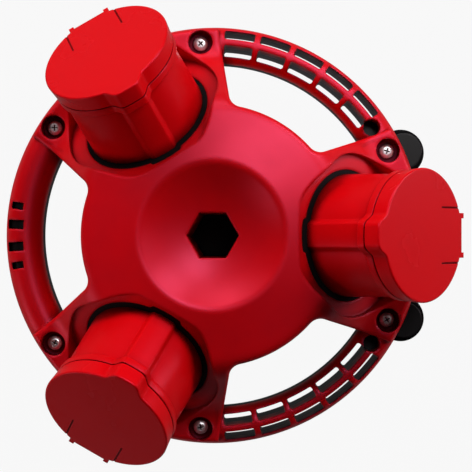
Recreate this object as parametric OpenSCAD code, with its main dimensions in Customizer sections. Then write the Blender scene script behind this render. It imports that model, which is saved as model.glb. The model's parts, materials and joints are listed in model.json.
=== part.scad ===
// Three-outlet portable power distributor: a ring-shaped housing with a grip, a dished
// hub and three angled five-pole socket outlets with hinged, sprung lids.
// Millimetres, +Z up. The hub axis is Z and the distributor lies on its back on z = 0.
// Lobe 1 points along +X, the grip along -X.

/* [Ring and grip] */
// Outer radius of the ring
ring_r = 150; // [140:1:170]
// Width of the ring's section along the radius
ring_w = 26; // [24:1:30]
// Thickness of the ring's section along the axis
ring_t = 30; // [26:1:32]
// Wall of the hollow grip
grip_wall = 3; // [2:0.5:4]
// Angle that each lattice window spans
window_angle = 8.8; // [6:0.2:9.4]
// Angle between neighbouring windows
window_pitch = 10.4; // [9.8:0.1:10.8]
// Number of windows in each row of an arc
window_count = 5; // [3:1:5]
// Radial height of the outer windows
window_outer_h = 6.4; // [4:0.2:7]
// Radial height of the inner windows
window_inner_h = 7.6; // [5:0.2:8]
// Rib between the two rows of windows
window_rib = 4.2; // [3:0.2:6]

/* [Hub and lobes] */
// Radius of the hub where it shows between the lobes
hub_r = 87; // [82:1:92]
// Height of the hub's crown above the joint of the two shells
hub_h = 71; // [68:1:76]
// Wall of both shells
wall = 3; // [2.4:0.2:3.6]
// Radius of the dish in the hub
dish_r = 48; // [42:1:50]
// Depth of the dish at its centre
dish_depth = 16; // [10:1:20]
// Width across flats of the hexagonal well
hex_af = 30.5; // [24:0.5:34]
// Height of the lobes' flange above the joint of the shells
flange_h = 17; // [16:0.5:20]
// Distance from a lobe's centre line to its side line, at the hub axis
lobe_offset = 24.5; // [23:0.5:27]
// Angle between a lobe's centre line and its side
lobe_angle = 21.6; // [21:0.2:23]
// Fillet between a lobe and the hub
lobe_fillet = 9; // [5:1:14]
// Depth of the rear shell below the joint of the shells
rear_depth = 42; // [40:1:50]

/* [Sockets] */
// Tilt of the sockets away from the hub axis
socket_tilt = 45; // [43:1:47]
// Distance of the socket's base inwards from the ring's outer edge
socket_inset = 55.7; // [52:0.1:58]
// Height of the socket's base above the joint of the shells
socket_z = 32; // [30:0.5:34]
// Outer radius of the socket tube at its base
socket_base_r = 42.4; // [40:0.2:43]
// Outer radius of the socket tube under its mouth
socket_top_r = 40.4; // [39.6:0.2:41]
// Inner radius of the socket tube
socket_bore_r = 36.8; // [35:0.2:37.4]
// Length of the socket tube above its base
socket_len = 50; // [44:1:56]
// Radius of the round recess that each socket stands in
recess_r = 55; // [53:0.5:56]
// Number of contacts in each socket
pole_count = 5; // [4:1:5]
// Radius of the circle that the contacts lie on
pole_circle_r = 16.5; // [15:0.5:18]
// Bore of the phase and neutral contacts
pole_d = 6; // [5:0.5:7]
// Bore of the earth contact
earth_d = 8; // [7:0.5:9]

/* [Lids] */
// Outer radius of the lid at its face
lid_r = 43.8; // [43:0.2:45]
// Height of the lid, from its seam to its face
lid_h = 11.7; // [10:0.5:14]
// Thickness of the lid's face
lid_face_t = 2.8; // [2:0.2:3.4]
// Distance of the lid's key nose from the socket's axis
nose_r = 50.6; // [48:0.2:52]
// Width of the key nose
nose_w = 22; // [18:1:26]
// Diameter of the hinge pin
pin_d = 3; // [2.5:0.1:3.2]
// Distance between the middles of the two hinge ears
ear_pitch = 27; // [25:1:32]
// Width of each hinge ear
ear_w = 3.5; // [3:0.25:4.5]

/* [Fasteners, feet and inlet] */
// Angle of the housing screws on each side of a lobe's centre line
screw_angle = 26; // [25:0.5:27]
// Distance of the housing screws inwards from the ring's outer edge
screw_inset = 13; // [11:0.5:16]
// Nominal diameter of the housing screws
screw_d = 5; // [4:0.5:5]
// Diameter of the housing screws' counterbores
counterbore_d = 16; // [14:0.5:18]
// Radius of the rubber feet
foot_r = 17.2; // [16:0.1:19]
// How far the middles of the rubber feet stand outside the ring
foot_overhang = 0.5; // [0:0.5:5]
// Angle of the rubber feet on each side of lobe 1
foot_angle = 24; // [23:0.5:25]
// Bore of the cable gland
gland_bore_d = 14; // [10:1:16]

/* [Hidden] */
$fn = 64;

eps = 0.01;                 // overcut of a cavity that ends on another face
clear = 0.3;                // gap between separate pieces that don't press
fit = 0.05;                 // radial clearance of pins, sleeves and screws
far = 400;                  // longer than the whole distributor
overlap = 0.01;             // a fillet crosses its neighbours by this and isn't tangent to them

lobe_turn = 120;            // angle between neighbouring lobes
ring_mid = ring_r - ring_w / 2;
socket_r = ring_r - socket_inset;
screw_circle_r = ring_r - screw_inset;
foot_circle_r = ring_r + foot_overhang;
hex_wall_af = hex_af + 2 * wall;

dish_ball_r = (dish_r * dish_r + dish_depth * dish_depth) / (2 * dish_depth);
crown_drop = 6;             // fall of the crown from the dish's rim to the hub's edge
crown_round = 8;
shoulder_r = hub_r + 3;
shoulder_round = 24;
foot_of_cone_r = ring_r - 24;
cone_foot_round = 18;
flange_round = 3;
rim_draft = 4;              // how far the flange's rim leans in over its height
rear_square = 0.4;          // power of the rear half's oval: 1 is an ellipse, 0 a rectangle
front_square = 0.95;
rear_rim_h = 9;             // straight part of the rear shell's rim
rear_rim_round = 4;
rear_slope_w = 38;          // width of the slope between the rim and the flat back
rear_slope_round = 10;

outer_row_r = ring_r - 4 - window_outer_h;
inner_row_r = outer_row_r - window_rib - window_inner_h;
window_round = 1.5;
window_start = 36.6;        // angle from lobe 1 to the first window's edge
stow_hole_r = 6;
stow_hole_angle = 34.4;
stow_hole_circle_r = inner_row_r + window_inner_h + 0.4;
stow_hole_depth = flange_h + 1;

slot_angles = [3.2, 8.6];
slot_widths = [6.5, 5];
slot_lengths = [11.5, 8.7];
slot_inset = 9;
slot_mid_r = ring_r - slot_inset;
slot_depth = 2.2;
grip_span = 23;             // half the angle that the grip's cavity spans

floor_t = 5;                // floor of the recess that the socket's flange screws to
recess_edge = 9;            // what is left of the flange outside the recess
recess_low = 4.5;           // how far the recess may reach below the joint
hole_gap = 2.9;             // width of the gap round the socket's base
gasket_t = 2;
flange_t = 4;
flange_r = 57;
flange_half_w = 50;
flange_screw = 37;
flange_screw_d = 4;
socket_tail = 28;           // length of the socket tube behind its base
carrier_seat = 24;
carrier_disc_t = 6;
carrier_pillar_r = 27.5;
carrier_drop = 13.5;        // from the mouth's collar down to the contact face
collar_h = 3.5;
collar_t = 2;
band_h = 5;
key_rise = 2.4;
key_w = 18;
keyway_w = 12;

seam = clear;
lid_z = socket_len + seam;
lid_top = lid_z + lid_h;
lid_wall = 2.6;
lid_taper = 0.8;
lid_bevel = 0.8;
groove_y = 18.5;
groove_len = 18;
groove_w = 0.8;
groove_depth = 0.6;

pin_r = pin_d / 2;
knuckle_r = pin_r + 1.3;
hinge_x = lid_r + 2.3;
hinge_z = lid_z + 1.2;
ear_inner = ear_pitch / 2 - ear_w / 2;
ear_outer = ear_pitch / 2 + ear_w / 2;
pin_head_t = 1;
spring_slot = 5.5;
spring_wire = 1;
spring_turns = 13;

counterbore_depth = 8;
boss_wall = 3;
rear_boss_depth = 11;
foot_top = 14;              // top of the rubber feet below the joint
foot_screw_d = 6;
foot_ledge = 4;             // ring of the foot that its post doesn't back
foot_post_gap = 2;
gland_z = -25;
gland_boss_r = 16.5;
gland_boss_len = 22;
gland_thread_r = 12.4;
gland_stub_len = 12;
gland_neck_len = 9;
gland_flange_af = 33;
gland_flange_t = 5;
gland_cap_r = 15.5;
gland_cap_len = 17;

seal_inset = 0.8;
seal_w = 1.4;
seal_depth = 1;

block_x = -54;
block_size = [22, 76, 24];
block_foot_t = 5;
block_screw_d = 4;
block_screw_inset = 5;
clamp_pitch = 11.6;
clamp_size = [9, 8, 12];

// Unit vector along v.
function unit(v) = v / norm(v);

// Outward normal of the edge from a to b of an outline that runs clockwise.
function edge_normal(a, b) = let (d = unit(b - a)) [-d.y, d.x];

// Turn at each corner of an outline: positive where a clockwise outline is convex.
function turn(a, b, c) = (b.y - a.y) * (c.x - b.x) - (b.x - a.x) * (c.y - b.y);

// Outline of [x, y, round] corners moved inwards by t, with its rounds kept parallel.
function inset(corners, t) = let (n = len(corners)) [
    for (i = [0:n - 1])
        let (
            a = corners[(i + n - 1) % n], b = corners[i], c = corners[(i + 1) % n],
            n1 = edge_normal([a.x, a.y], [b.x, b.y]),
            n2 = edge_normal([b.x, b.y], [c.x, c.y]),
            shift = t * (n1 + n2) / (1 + n1 * n2),
            grow = turn(a, b, c) > 0 ? -t : t
        )
        [b.x - shift.x, b.y - shift.y, b.z > 0 ? max(b.z + grow, 0.5) : 0]
];

// Points of a corner b between a and c, rounded to radius r in six steps.
function corner(a, b, c, r) =
    let (
        u = unit(a - b), v = unit(c - b), half = acos(u * v) / 2,
        mid = b + unit(u + v) * r / sin(half),
        from = b + u * r / tan(half) - mid, to = b + v * r / tan(half) - mid,
        sweep = acos(min(1, from * to / (r * r))),
        side = from.x * to.y - from.y * to.x > 0 ? 1 : -1
    )
    [for (i = [0:6]) let (a = side * sweep * i / 6)
        mid + [from.x * cos(a) - from.y * sin(a), from.x * sin(a) + from.y * cos(a)]];

// Polygon points of an outline of [x, y, round] corners.
function rounded(corners) = let (n = len(corners)) [
    for (i = [0:n - 1])
        let (a = corners[(i + n - 1) % n], b = corners[i], c = corners[(i + 1) % n])
        each b.z > 0
            ? corner([a.x, a.y], [b.x, b.y], [c.x, c.y], b.z)
            : [[b.x, b.y]]
];

// Half section of the front shell's outside, clockwise from the dish's centre.
function front_corners(base) = concat(
    [for (i = [0:8]) let (a = asin(dish_r / dish_ball_r) * i / 9)
        [dish_ball_r * sin(a), hub_h - dish_depth + dish_ball_r * (1 - cos(a)), 0]],
    [
        [dish_r, hub_h, crown_round],
        [shoulder_r, hub_h - crown_drop, shoulder_round],
        [foot_of_cone_r, flange_h, cone_foot_round],
        [ring_r - rim_draft, flange_h, flange_round],
        [ring_r, base, 0],
        [0, base, 0]
    ]
);

// Half section of the rear shell's outside, clockwise from the joint's centre.
function rear_corners(top) = [
    [0, top, 0],
    [ring_r, top, 0],
    [ring_r, -rear_rim_h, rear_rim_round],
    [ring_r - rear_slope_w, -rear_depth, rear_slope_round],
    [0, -rear_depth, 0]
];

// Half of the ring's oval section: upper half for side 1, lower half for side -1.
function oval(side, t) = [
    for (i = [0:16])
        let (a = i * 180 / 16, p = side > 0 ? front_square : rear_square)
        [ring_mid + (ring_w / 2 - t) * sign(cos(a)) * pow(abs(cos(a)), p),
            side * (ring_t / 2 - t) * pow(sin(a), p)]
];

// Raises a piece from the joint of the shells to its height above the floor.
module raise() {
    translate([0, 0, rear_depth]) children();
}

// Copies for each of the three lobes.
module each_lobe() {
    for (i = [0:2]) rotate([0, 0, i * lobe_turn]) children();
}

// Frame of a socket: Z along its axis, X towards its hinge, origin at its base.
module in_socket() {
    translate([socket_r, 0, socket_z]) rotate([0, socket_tilt, 0]) children();
}

// Places a piece of socket i, modelled in the socket's frame.
module of_socket(i) {
    raise() rotate([0, 0, (i - 1) * lobe_turn]) in_socket() children();
}

// Plan of the hub and the three lobes, moved inwards by t.
module lobe_plan(t) {
    side = lobe_offset - t;
    round_r = lobe_fillet + t;
    mid_out = lobe_offset + lobe_fillet;
    mid_along = sqrt(pow(hub_r + lobe_fillet, 2) - pow(mid_out, 2));
    along = [cos(lobe_angle), sin(lobe_angle)];
    out = [-sin(lobe_angle), cos(lobe_angle)];
    mid = along * mid_along + out * mid_out;
    circle(hub_r - t);
    for (i = [0:2]) rotate(i * lobe_turn) intersection() {
        circle(ring_r - t);
        polygon([
            [-side / sin(lobe_angle), 0],
            [far, side / cos(lobe_angle) + far * tan(lobe_angle)],
            [far, -side / cos(lobe_angle) - far * tan(lobe_angle)]
        ]);
    }
    for (i = [0:2], m = [0, 1]) rotate(i * lobe_turn) mirror([0, m]) difference() {
        polygon([[0, 0], mid - out * round_r, mid, unit(mid) * (hub_r - t)]);
        translate(mid) circle(round_r + overlap);
    }
}

// What a rounded corner of a lattice window leaves standing between its side, which runs
// along X, and its arc of radius r; out is 1 for the outer arc and -1 for the inner one.
module window_corner(r, out) {
    mid_r = r - out * window_round;
    mid = [sqrt(mid_r * mid_r - window_round * window_round), window_round];
    past = 2 * window_round * out * unit(mid);
    below = [0, -2 * window_round];
    difference() {
        polygon([mid, mid + below, mid + below + past, mid + past]);
        translate(mid) circle(window_round + overlap);
    }
}

// Plan of a lattice window: a ring sector with round corners.
module window_plan(r, h) {
    difference() {
        intersection() {
            difference() {
                circle(r + h);
                circle(r);
            }
            polygon([[0, 0], [far, 0], far * [cos(window_angle), sin(window_angle)]]);
        }
        for (m = [0, 1]) rotate(m * window_angle) mirror([0, m]) {
            window_corner(r, -1);
            window_corner(r + h, 1);
        }
    }
}

// All windows of the two lattice arcs, as cutters.
module windows() {
    for (m = [0, 1], i = [0:window_count - 1])
        mirror([0, m, 0]) rotate([0, 0, window_start + i * window_pitch])
            translate([0, 0, -ring_t]) linear_extrude(2 * ring_t) {
                window_plan(outer_row_r, window_outer_h);
                window_plan(inner_row_r, window_inner_h);
            }
}

// Half of the whole ring, solid.
module ring_half(side) {
    rotate_extrude() polygon(oval(side, 0));
}

// Half of the cavity of the grip.
module grip_cavity(side) {
    rotate([0, 0, 180 - grip_span]) rotate_extrude(angle = 2 * grip_span)
        polygon(oval(side, grip_wall));
}

// The four slots across the grip's face, or the tabs that fill them when grow is below 0.
module grip_slots(grow, low, high) {
    for (m = [0, 1], i = [0, 1])
        mirror([0, m, 0]) rotate([0, 0, 180 - slot_angles[i]])
            translate([slot_mid_r - slot_lengths[i] / 2 - grow, -slot_widths[i] / 2 - grow, low])
                cube([slot_lengths[i] + 2 * grow, slot_widths[i] + 2 * grow, high - low]);
}

// Space round a socket that its recess clears, grown by a wall at the sides and a floor.
module recess(side_wall, floor_wall) {
    intersection() {
        in_socket() translate([0, 0, -floor_wall]) cylinder(r = recess_r + side_wall, h = far / 2);
        translate([0, 0, -recess_low - side_wall])
            cylinder(r = ring_r - recess_edge + side_wall, h = far);
    }
}

// Outline of a socket or lid: a circle with a key nose towards the hub.
module keyed(r, key_r, key_width) {
    circle(r);
    intersection() {
        circle(key_r);
        translate([-key_r, -key_width / 2]) square([key_r, key_width]);
    }
}

// Hexagonal bar along Z, flats towards +Y and -Y.
module hex_bar(af, h) {
    cylinder(d = af / cos(30), h = h, $fn = 6);
}

// Places of the six housing screws, at the joint of the shells.
module each_housing_screw() {
    each_lobe() for (s = [-1, 1]) rotate([0, 0, s * screw_angle])
        translate([screw_circle_r, 0, 0]) children();
}

// Places of the two rubber feet.
module each_foot() {
    for (s = [-1, 1]) rotate([0, 0, s * foot_angle]) translate([foot_circle_r, 0, 0]) children();
}

// Outside of the front shell, without its openings.
module front_solid() {
    intersection() {
        rotate_extrude() polygon(rounded(front_corners(0)));
        linear_extrude(far) lobe_plan(0);
    }
    ring_half(1);
}

module front_shell() {
    color("#c8101c") raise() difference() {
        union() {
            difference() {
                front_solid();
                intersection() {
                    rotate_extrude() polygon(rounded(inset(front_corners(-wall - 1), wall)));
                    translate([0, 0, -wall]) linear_extrude(far) lobe_plan(wall);
                }
                grip_cavity(1);
            }
            intersection() {
                each_lobe() recess(wall, floor_t);
                union() {
                    front_solid();
                    translate([0, 0, -far / 2]) linear_extrude(far / 2 + eps) lobe_plan(wall + clear);
                }
            }
            intersection() {
                each_housing_screw() cylinder(r = counterbore_d / 2 + boss_wall, h = far);
                front_solid();
            }
            translate([0, 0, wall + clear - rear_depth])
                hex_bar(hex_wall_af, rear_depth - wall - clear + hub_h - dish_depth);
        }
        each_lobe() recess(0, 0);
        each_lobe() in_socket() {
            translate([0, 0, -2 * floor_t]) linear_extrude(3 * floor_t)
                keyed(socket_base_r + hole_gap, socket_base_r + hole_gap + key_rise, key_w + hole_gap);
            for (x = [-1, 1], y = [-1, 1])
                translate([x * flange_screw, y * flange_screw, -floor_t - eps])
                    cylinder(d = flange_screw_d + 2 * fit, h = floor_t - 1);
        }
        each_housing_screw() {
            translate([0, 0, -1]) cylinder(d = screw_d + 2 * fit, h = far / 4);
            translate([0, 0, flange_h - counterbore_depth]) cylinder(d = counterbore_d, h = far / 4);
        }
        translate([0, 0, -rear_depth]) hex_bar(hex_af, far);
        windows();
        grip_slots(0, 0, ring_t);
        for (s = [-1, 1]) rotate([0, 0, s * stow_hole_angle])
            translate([stow_hole_circle_r, 0, flange_h - stow_hole_depth])
                cylinder(r = stow_hole_r, h = far / 4);
    }
}

// Outside of the rear shell, without its openings.
module rear_solid() {
    intersection() {
        rotate_extrude() polygon(rounded(rear_corners(0)));
        translate([0, 0, -far / 2]) linear_extrude(far / 2) lobe_plan(0);
    }
    ring_half(-1);
}

module rear_shell() {
    color("#1b1b1d") raise() {
        difference() {
            union() {
                difference() {
                    rear_solid();
                    difference() {
                        intersection() {
                            rotate_extrude() polygon(rounded(inset(rear_corners(wall + 1), wall)));
                            translate([0, 0, -far / 2]) linear_extrude(far) lobe_plan(wall);
                        }
                        each_foot() translate([0, 0, -far / 2])
                            cylinder(r = foot_r + clear + wall, h = far / 2 - foot_top + wall);
                    }
                    grip_cavity(-1);
                }
                intersection() {
                    each_housing_screw() translate([0, 0, -rear_boss_depth - wall])
                        cylinder(r = screw_d / 2 + boss_wall, h = rear_boss_depth + wall);
                    rear_solid();
                }
                each_foot() translate([0, 0, -foot_top])
                    cylinder(r = foot_r - foot_ledge, h = foot_top - foot_post_gap);
                translate([ring_r - gland_boss_len, 0, gland_z]) rotate([0, 90, 0])
                    cylinder(r = gland_boss_r, h = gland_boss_len);
                translate([0, 0, -rear_depth + wall]) hex_bar(hex_wall_af + 2 * wall, wall * 4);
            }
            translate([0, 0, -rear_depth + wall]) hex_bar(hex_wall_af + 2 * clear, far);
            each_housing_screw() translate([0, 0, -rear_boss_depth])
                cylinder(d = screw_d + 2 * fit, h = far);
            each_foot() {
                translate([0, 0, -far / 2 - foot_top]) cylinder(r = foot_r + clear, h = far / 2);
                translate([0, 0, -foot_top - 1]) cylinder(d = foot_screw_d + 2 * fit, h = foot_top - 3);
            }
            translate([block_x, 0, -rear_depth + 1]) each_block_screw()
                cylinder(d = block_screw_d + 2 * fit, h = far / 4);
            translate([ring_r, 0, gland_z]) rotate([0, 90, 0]) {
                translate([0, 0, -gland_stub_len - clear]) cylinder(r = gland_thread_r + fit, h = far);
                translate([0, 0, -gland_boss_len - wall]) cylinder(d = gland_bore_d + 4, h = far);
            }
            translate([0, 0, -seal_depth]) linear_extrude(far) difference() {
                lobe_plan(seal_inset);
                lobe_plan(seal_inset + seal_w);
            }
            windows();
        }
        intersection() {
            grip_slots(-clear, -ring_t, ring_t);
            rotate_extrude() polygon(concat(oval(1, slot_depth),
                [for (p = oval(-1, slot_depth)) [2 * ring_mid - p.x, p.y]]));
        }
    }
}

module housing_seal() {
    color("#242426") raise() translate([0, 0, -seal_depth]) linear_extrude(seal_depth) difference() {
        lobe_plan(seal_inset);
        lobe_plan(seal_inset + seal_w);
    }
}

// A pan-head screw with a cross recess: head below z = 0 upside, shank down to -length.
module pan_screw(d, length) {
    head_r = d;
    head_h = 0.62 * d;
    difference() {
        union() {
            translate([0, 0, -length]) cylinder(d = d, h = length);
            intersection() {
                cylinder(r = head_r, h = head_h);
                translate([0, 0, head_h - 1.6 * head_r]) sphere(r = 1.6 * head_r);
            }
        }
        translate([0, 0, head_h - 0.35 * d]) for (a = [0, 90]) rotate([0, 0, a])
            translate([-0.5 * d, -0.09 * d, 0]) cube([d, 0.18 * d, d]);
    }
}

module housing_screws() {
    color("#d8dade") raise() each_housing_screw()
        translate([0, 0, flange_h - counterbore_depth])
            pan_screw(screw_d, flange_h - counterbore_depth + rear_boss_depth - 0.5);
}

module socket_body() {
    color("#c8101c") difference() {
        union() {
            cylinder(r1 = socket_base_r, r2 = socket_top_r, h = socket_len);
            intersection() {
                cylinder(r1 = socket_base_r + key_rise, r2 = socket_top_r + key_rise, h = socket_len);
                translate([-far, -key_w / 2, 0]) cube([far, key_w, far]);
            }
            translate([0, 0, -socket_tail]) cylinder(r = socket_base_r, h = socket_tail);
            translate([0, 0, -floor_t - gasket_t - flange_t]) linear_extrude(flange_t) intersection() {
                circle(flange_r);
                square(2 * flange_half_w, center = true);
            }
            translate([0, 0, -floor_t - gasket_t - flange_t])
                linear_extrude(floor_t + gasket_t + flange_t)
                    keyed(socket_base_r, socket_base_r + key_rise, key_w);
            translate([0, 0, socket_len - band_h]) linear_extrude(band_h)
                keyed(lid_r - lid_taper, nose_r - lid_taper, nose_w - 1);
            cylinder(r = socket_bore_r + collar_t, h = socket_len + collar_h);
            hinge_lug();
        }
        translate([0, 0, -carrier_seat]) linear_extrude(far) {
            circle(socket_bore_r);
            translate([-socket_bore_r - 1.6, -keyway_w / 2]) square([socket_bore_r, keyway_w]);
        }
        translate([0, 0, -far / 2]) cylinder(r = socket_bore_r - 3, h = far);
        for (x = [-1, 1], y = [-1, 1])
            translate([x * flange_screw, y * flange_screw, -far / 2 - floor_t])
                cylinder(d = flange_screw_d + 2 * fit, h = far / 2);
        hinge_bore(0);
        translate([hinge_x - knuckle_r - clear, -spring_slot, hinge_z - knuckle_r])
            cube([far, 2 * spring_slot, far]);
    }
}

// Lug on the socket's band that carries the hinge pin between the lid's ears.
module hinge_lug() {
    half = ear_inner - clear;
    translate([hinge_x, half, hinge_z]) rotate([90, 0, 0]) cylinder(r = knuckle_r, h = 2 * half);
    translate([socket_bore_r + 1, -half, socket_len - band_h])
        cube([hinge_x - socket_bore_r - 1, 2 * half, band_h]);
    translate([hinge_x - 1, -half, socket_len - band_h])
        cube([knuckle_r + 1, 2 * half, band_h + hinge_z - socket_len]);
}

// Bore of the hinge pin, wider than the pin by play.
module hinge_bore(play) {
    translate([hinge_x, far / 2, hinge_z]) rotate([90, 0, 0]) cylinder(r = pin_r + play, h = far);
}

module socket_gasket() {
    color("#161617") {
        translate([0, 0, -floor_t - gasket_t]) linear_extrude(gasket_t) difference() {
            circle(flange_half_w - 1);
            keyed(socket_base_r + fit, socket_base_r + key_rise + fit, key_w + 2 * fit);
        }
        translate([0, 0, -floor_t - eps]) linear_extrude(floor_t - 1) difference() {
            keyed(socket_base_r + hole_gap - fit, socket_base_r + hole_gap + key_rise - fit,
                key_w + hole_gap - 2 * fit);
            keyed(socket_base_r + fit, socket_base_r + key_rise + fit, key_w + 2 * fit);
        }
    }
}

// Places of the contacts; the earth contact is the first, next to the key.
module each_pole() {
    for (i = [0:pole_count - 1]) rotate([0, 0, 180 + i * 360 / pole_count])
        translate([pole_circle_r, 0, 0]) {
            $bore = i == 0 ? earth_d : pole_d;
            children();
        }
}

module contact_carrier() {
    top = socket_len + collar_h - carrier_drop;
    color("#3a3b3e") difference() {
        union() {
            translate([0, 0, -carrier_seat]) cylinder(r = socket_bore_r - fit, h = carrier_disc_t);
            translate([0, 0, -carrier_seat]) cylinder(r = carrier_pillar_r, h = top + carrier_seat);
        }
        each_pole() translate([0, 0, -far / 2]) cylinder(d = $bore + 2.4 + 2 * fit, h = far);
    }
}

module contacts() {
    top = socket_len + collar_h - carrier_drop;
    color("#c9a24a") each_pole() difference() {
        translate([0, 0, -carrier_seat - 8]) cylinder(d = $bore + 2.4, h = top + carrier_seat + 6);
        translate([0, 0, -carrier_seat]) cylinder(d = $bore, h = far);
    }
}

module hinge_pin() {
    color("#c9ccd1") translate([hinge_x, 0, hinge_z]) rotate([90, 0, 0]) {
        cylinder(r = pin_r, h = 2 * (ear_outer + fit), center = true);
        for (m = [0, 1]) mirror([0, 0, m]) translate([0, 0, ear_outer + fit])
            cylinder(r = pin_r + 0.7, h = pin_head_t);
    }
}

module hinge_spring() {
    mean_r = pin_r + 0.15 + spring_wire / 2;
    pitch = (2 * spring_slot - spring_wire - 2 * clear) / (spring_turns - 1);
    reach = [knuckle_r - 0.2, 1.8];
    color("#b9bcc2") translate([hinge_x, 0, hinge_z]) rotate([90, 0, 0]) {
        rotate_extrude() for (i = [0:spring_turns - 1])
            translate([mean_r, (i - (spring_turns - 1) / 2) * pitch]) circle(d = spring_wire);
        for (s = [-1, 1])
            translate([0, s * mean_r, s * pitch * (spring_turns - 1) / 2]) rotate([0, -90, 0])
                cylinder(d = 0.9 * spring_wire, h = reach[(s + 1) / 2]);
    }
}

// Outside of the lid: a tapered rim under a bevelled face, with the key nose.
module lid_solid() {
    widest = lid_top - lid_bevel;
    for (p = [[lid_r, far], [nose_r, nose_w]]) intersection() {
        translate([0, 0, lid_z]) {
            cylinder(r1 = p[0] - lid_taper, r2 = p[0], h = widest - lid_z);
            translate([0, 0, widest - lid_z]) cylinder(r1 = p[0], r2 = p[0] - lid_bevel, h = lid_bevel);
        }
        translate([-far, -p[1] / 2, 0]) cube([p[1] == far ? 2 * far : far, p[1], far]);
    }
}

module lid() {
    color("#d3131f") difference() {
        union() {
            difference() {
                lid_solid();
                translate([0, 0, lid_z - 1]) linear_extrude(lid_h - lid_face_t + 1)
                    keyed(lid_r - lid_taper - lid_wall, nose_r - lid_taper - lid_wall, nose_w - 2 * lid_wall);
            }
            for (m = [0, 1]) mirror([0, m, 0]) hinge_ear();
        }
        hinge_bore(fit);
        translate([hinge_x, ear_inner, hinge_z]) rotate([90, 0, 0])
            cylinder(r = knuckle_r + clear, h = 2 * ear_inner);
        for (s = [-1, 1]) translate([far / 2 + lid_r - groove_len - 4, s * groove_y, lid_top])
            cube([far, groove_w, 2 * groove_depth], center = true);
    }
}

// Ear on the lid's rim that turns on the hinge pin.
module hinge_ear() {
    translate([lid_r - 2, ear_inner, hinge_z])
        cube([hinge_x + knuckle_r - lid_r + 2, ear_w, lid_h - 3.2]);
    translate([hinge_x, ear_outer, hinge_z]) rotate([90, 0, 0]) cylinder(r = knuckle_r, h = ear_w);
}

module lid_seal() {
    base = socket_len + collar_h + clear;
    color("#1c1c1e") translate([0, 0, base]) difference() {
        cylinder(r = lid_r - lid_taper - lid_wall - clear, h = lid_top - lid_face_t - base);
        translate([0, 0, -1]) cylinder(r = socket_bore_r - 2, h = far);
    }
}

module socket_screws() {
    color("#aeb1b6") for (i = [1:3]) of_socket(i)
        for (x = [-1, 1], y = [-1, 1])
            translate([x * flange_screw, y * flange_screw, -floor_t - gasket_t - flange_t])
                rotate([180, 0, 0]) pan_screw(flange_screw_d, gasket_t + flange_t + floor_t - 1.5);
}

module terminal_block() {
    color("#c9c9c4") raise() translate([block_x, 0, -rear_depth + wall]) difference() {
        translate([-block_size.x / 2, -block_size.y / 2, 0]) cube(block_size);
        for (i = [-2:2]) translate([0, i * clamp_pitch, block_size.z - clamp_size.z / 2 + 1])
            cube([clamp_size.x, clamp_size.y, clamp_size.z + 2], center = true);
        each_block_screw() {
            translate([0, 0, -1]) cylinder(d = block_screw_d + 2 * fit, h = far);
            translate([0, 0, block_foot_t]) cylinder(r = block_screw_d + 0.6, h = far);
        }
    }
}

// Places of the two screws at the ends of the terminal block.
module each_block_screw() {
    for (s = [-1, 1]) translate([0, s * (block_size.y / 2 - block_screw_inset), 0]) children();
}

module terminal_clamps() {
    color("#c9a24a") raise() translate([block_x, 0, -rear_depth + wall])
        for (i = [-2:2]) translate([0, i * clamp_pitch, block_size.z - clamp_size.z / 2]) difference() {
            cube([clamp_size.x - 2 * fit, clamp_size.y - 2 * fit, clamp_size.z], center = true);
            rotate([0, 90, 0]) cylinder(d = 4, h = far, center = true);
            cylinder(d = 3.5, h = far);
        }
}

module terminal_screws() {
    color("#aeb1b6") raise() translate([block_x, 0, -rear_depth + wall]) each_block_screw()
        translate([0, 0, block_foot_t]) pan_screw(block_screw_d, block_foot_t + wall - 1);
}

module bumper() {
    height = rear_depth - foot_top;
    color("#141415") raise() translate([foot_circle_r, 0, -rear_depth]) difference() {
        rotate_extrude() polygon(rounded([
            [0, height, 0], [foot_r, height, 2], [foot_r, 0, 3], [0, 0, 0]
        ]));
        translate([0, 0, -1]) cylinder(d = foot_screw_d + 2 * fit, h = far);
        translate([0, 0, -1]) cylinder(r = foot_screw_d + 1, h = height - 6);
    }
}

module bumper_screws() {
    color("#aeb1b6") raise() each_foot() translate([0, 0, -foot_top - 7])
        rotate([180, 0, 0]) pan_screw(foot_screw_d, 7 + foot_top - 5);
}

// Frame of the cable gland: Z out of the housing along its bore, origin on its face.
module in_gland() {
    raise() translate([ring_r, 0, gland_z]) rotate([0, 90, 0]) children();
}

module gland_body() {
    color("#232325") in_gland() difference() {
        union() {
            rotate([0, 0, 30]) hex_bar(gland_flange_af, gland_flange_t);
            translate([0, 0, -gland_stub_len])
                cylinder(r = gland_thread_r, h = gland_stub_len + gland_flange_t + gland_neck_len);
        }
        cylinder(d = gland_bore_d + 4, h = far, center = true);
    }
}

module gland_seal() {
    color("#0f0f10") in_gland() translate([0, 0, gland_flange_t]) difference() {
        cylinder(d = gland_bore_d + 4 - 2 * fit, h = gland_neck_len + 1);
        translate([0, 0, -1]) cylinder(d = gland_bore_d - 1, h = far);
    }
}

module gland_cap() {
    color("#232325") in_gland() translate([0, 0, gland_flange_t]) difference() {
        rotate_extrude() polygon(rounded([
            [0, gland_cap_len, 0], [gland_cap_r - 3, gland_cap_len, 3],
            [gland_cap_r, gland_cap_len - 5, 4], [gland_cap_r, 0, 0.8], [0, 0, 0]
        ]));
        translate([0, 0, -1]) cylinder(r = gland_thread_r + fit, h = gland_neck_len + 2);
        cylinder(d = gland_bore_d, h = far);
    }
}

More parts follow.
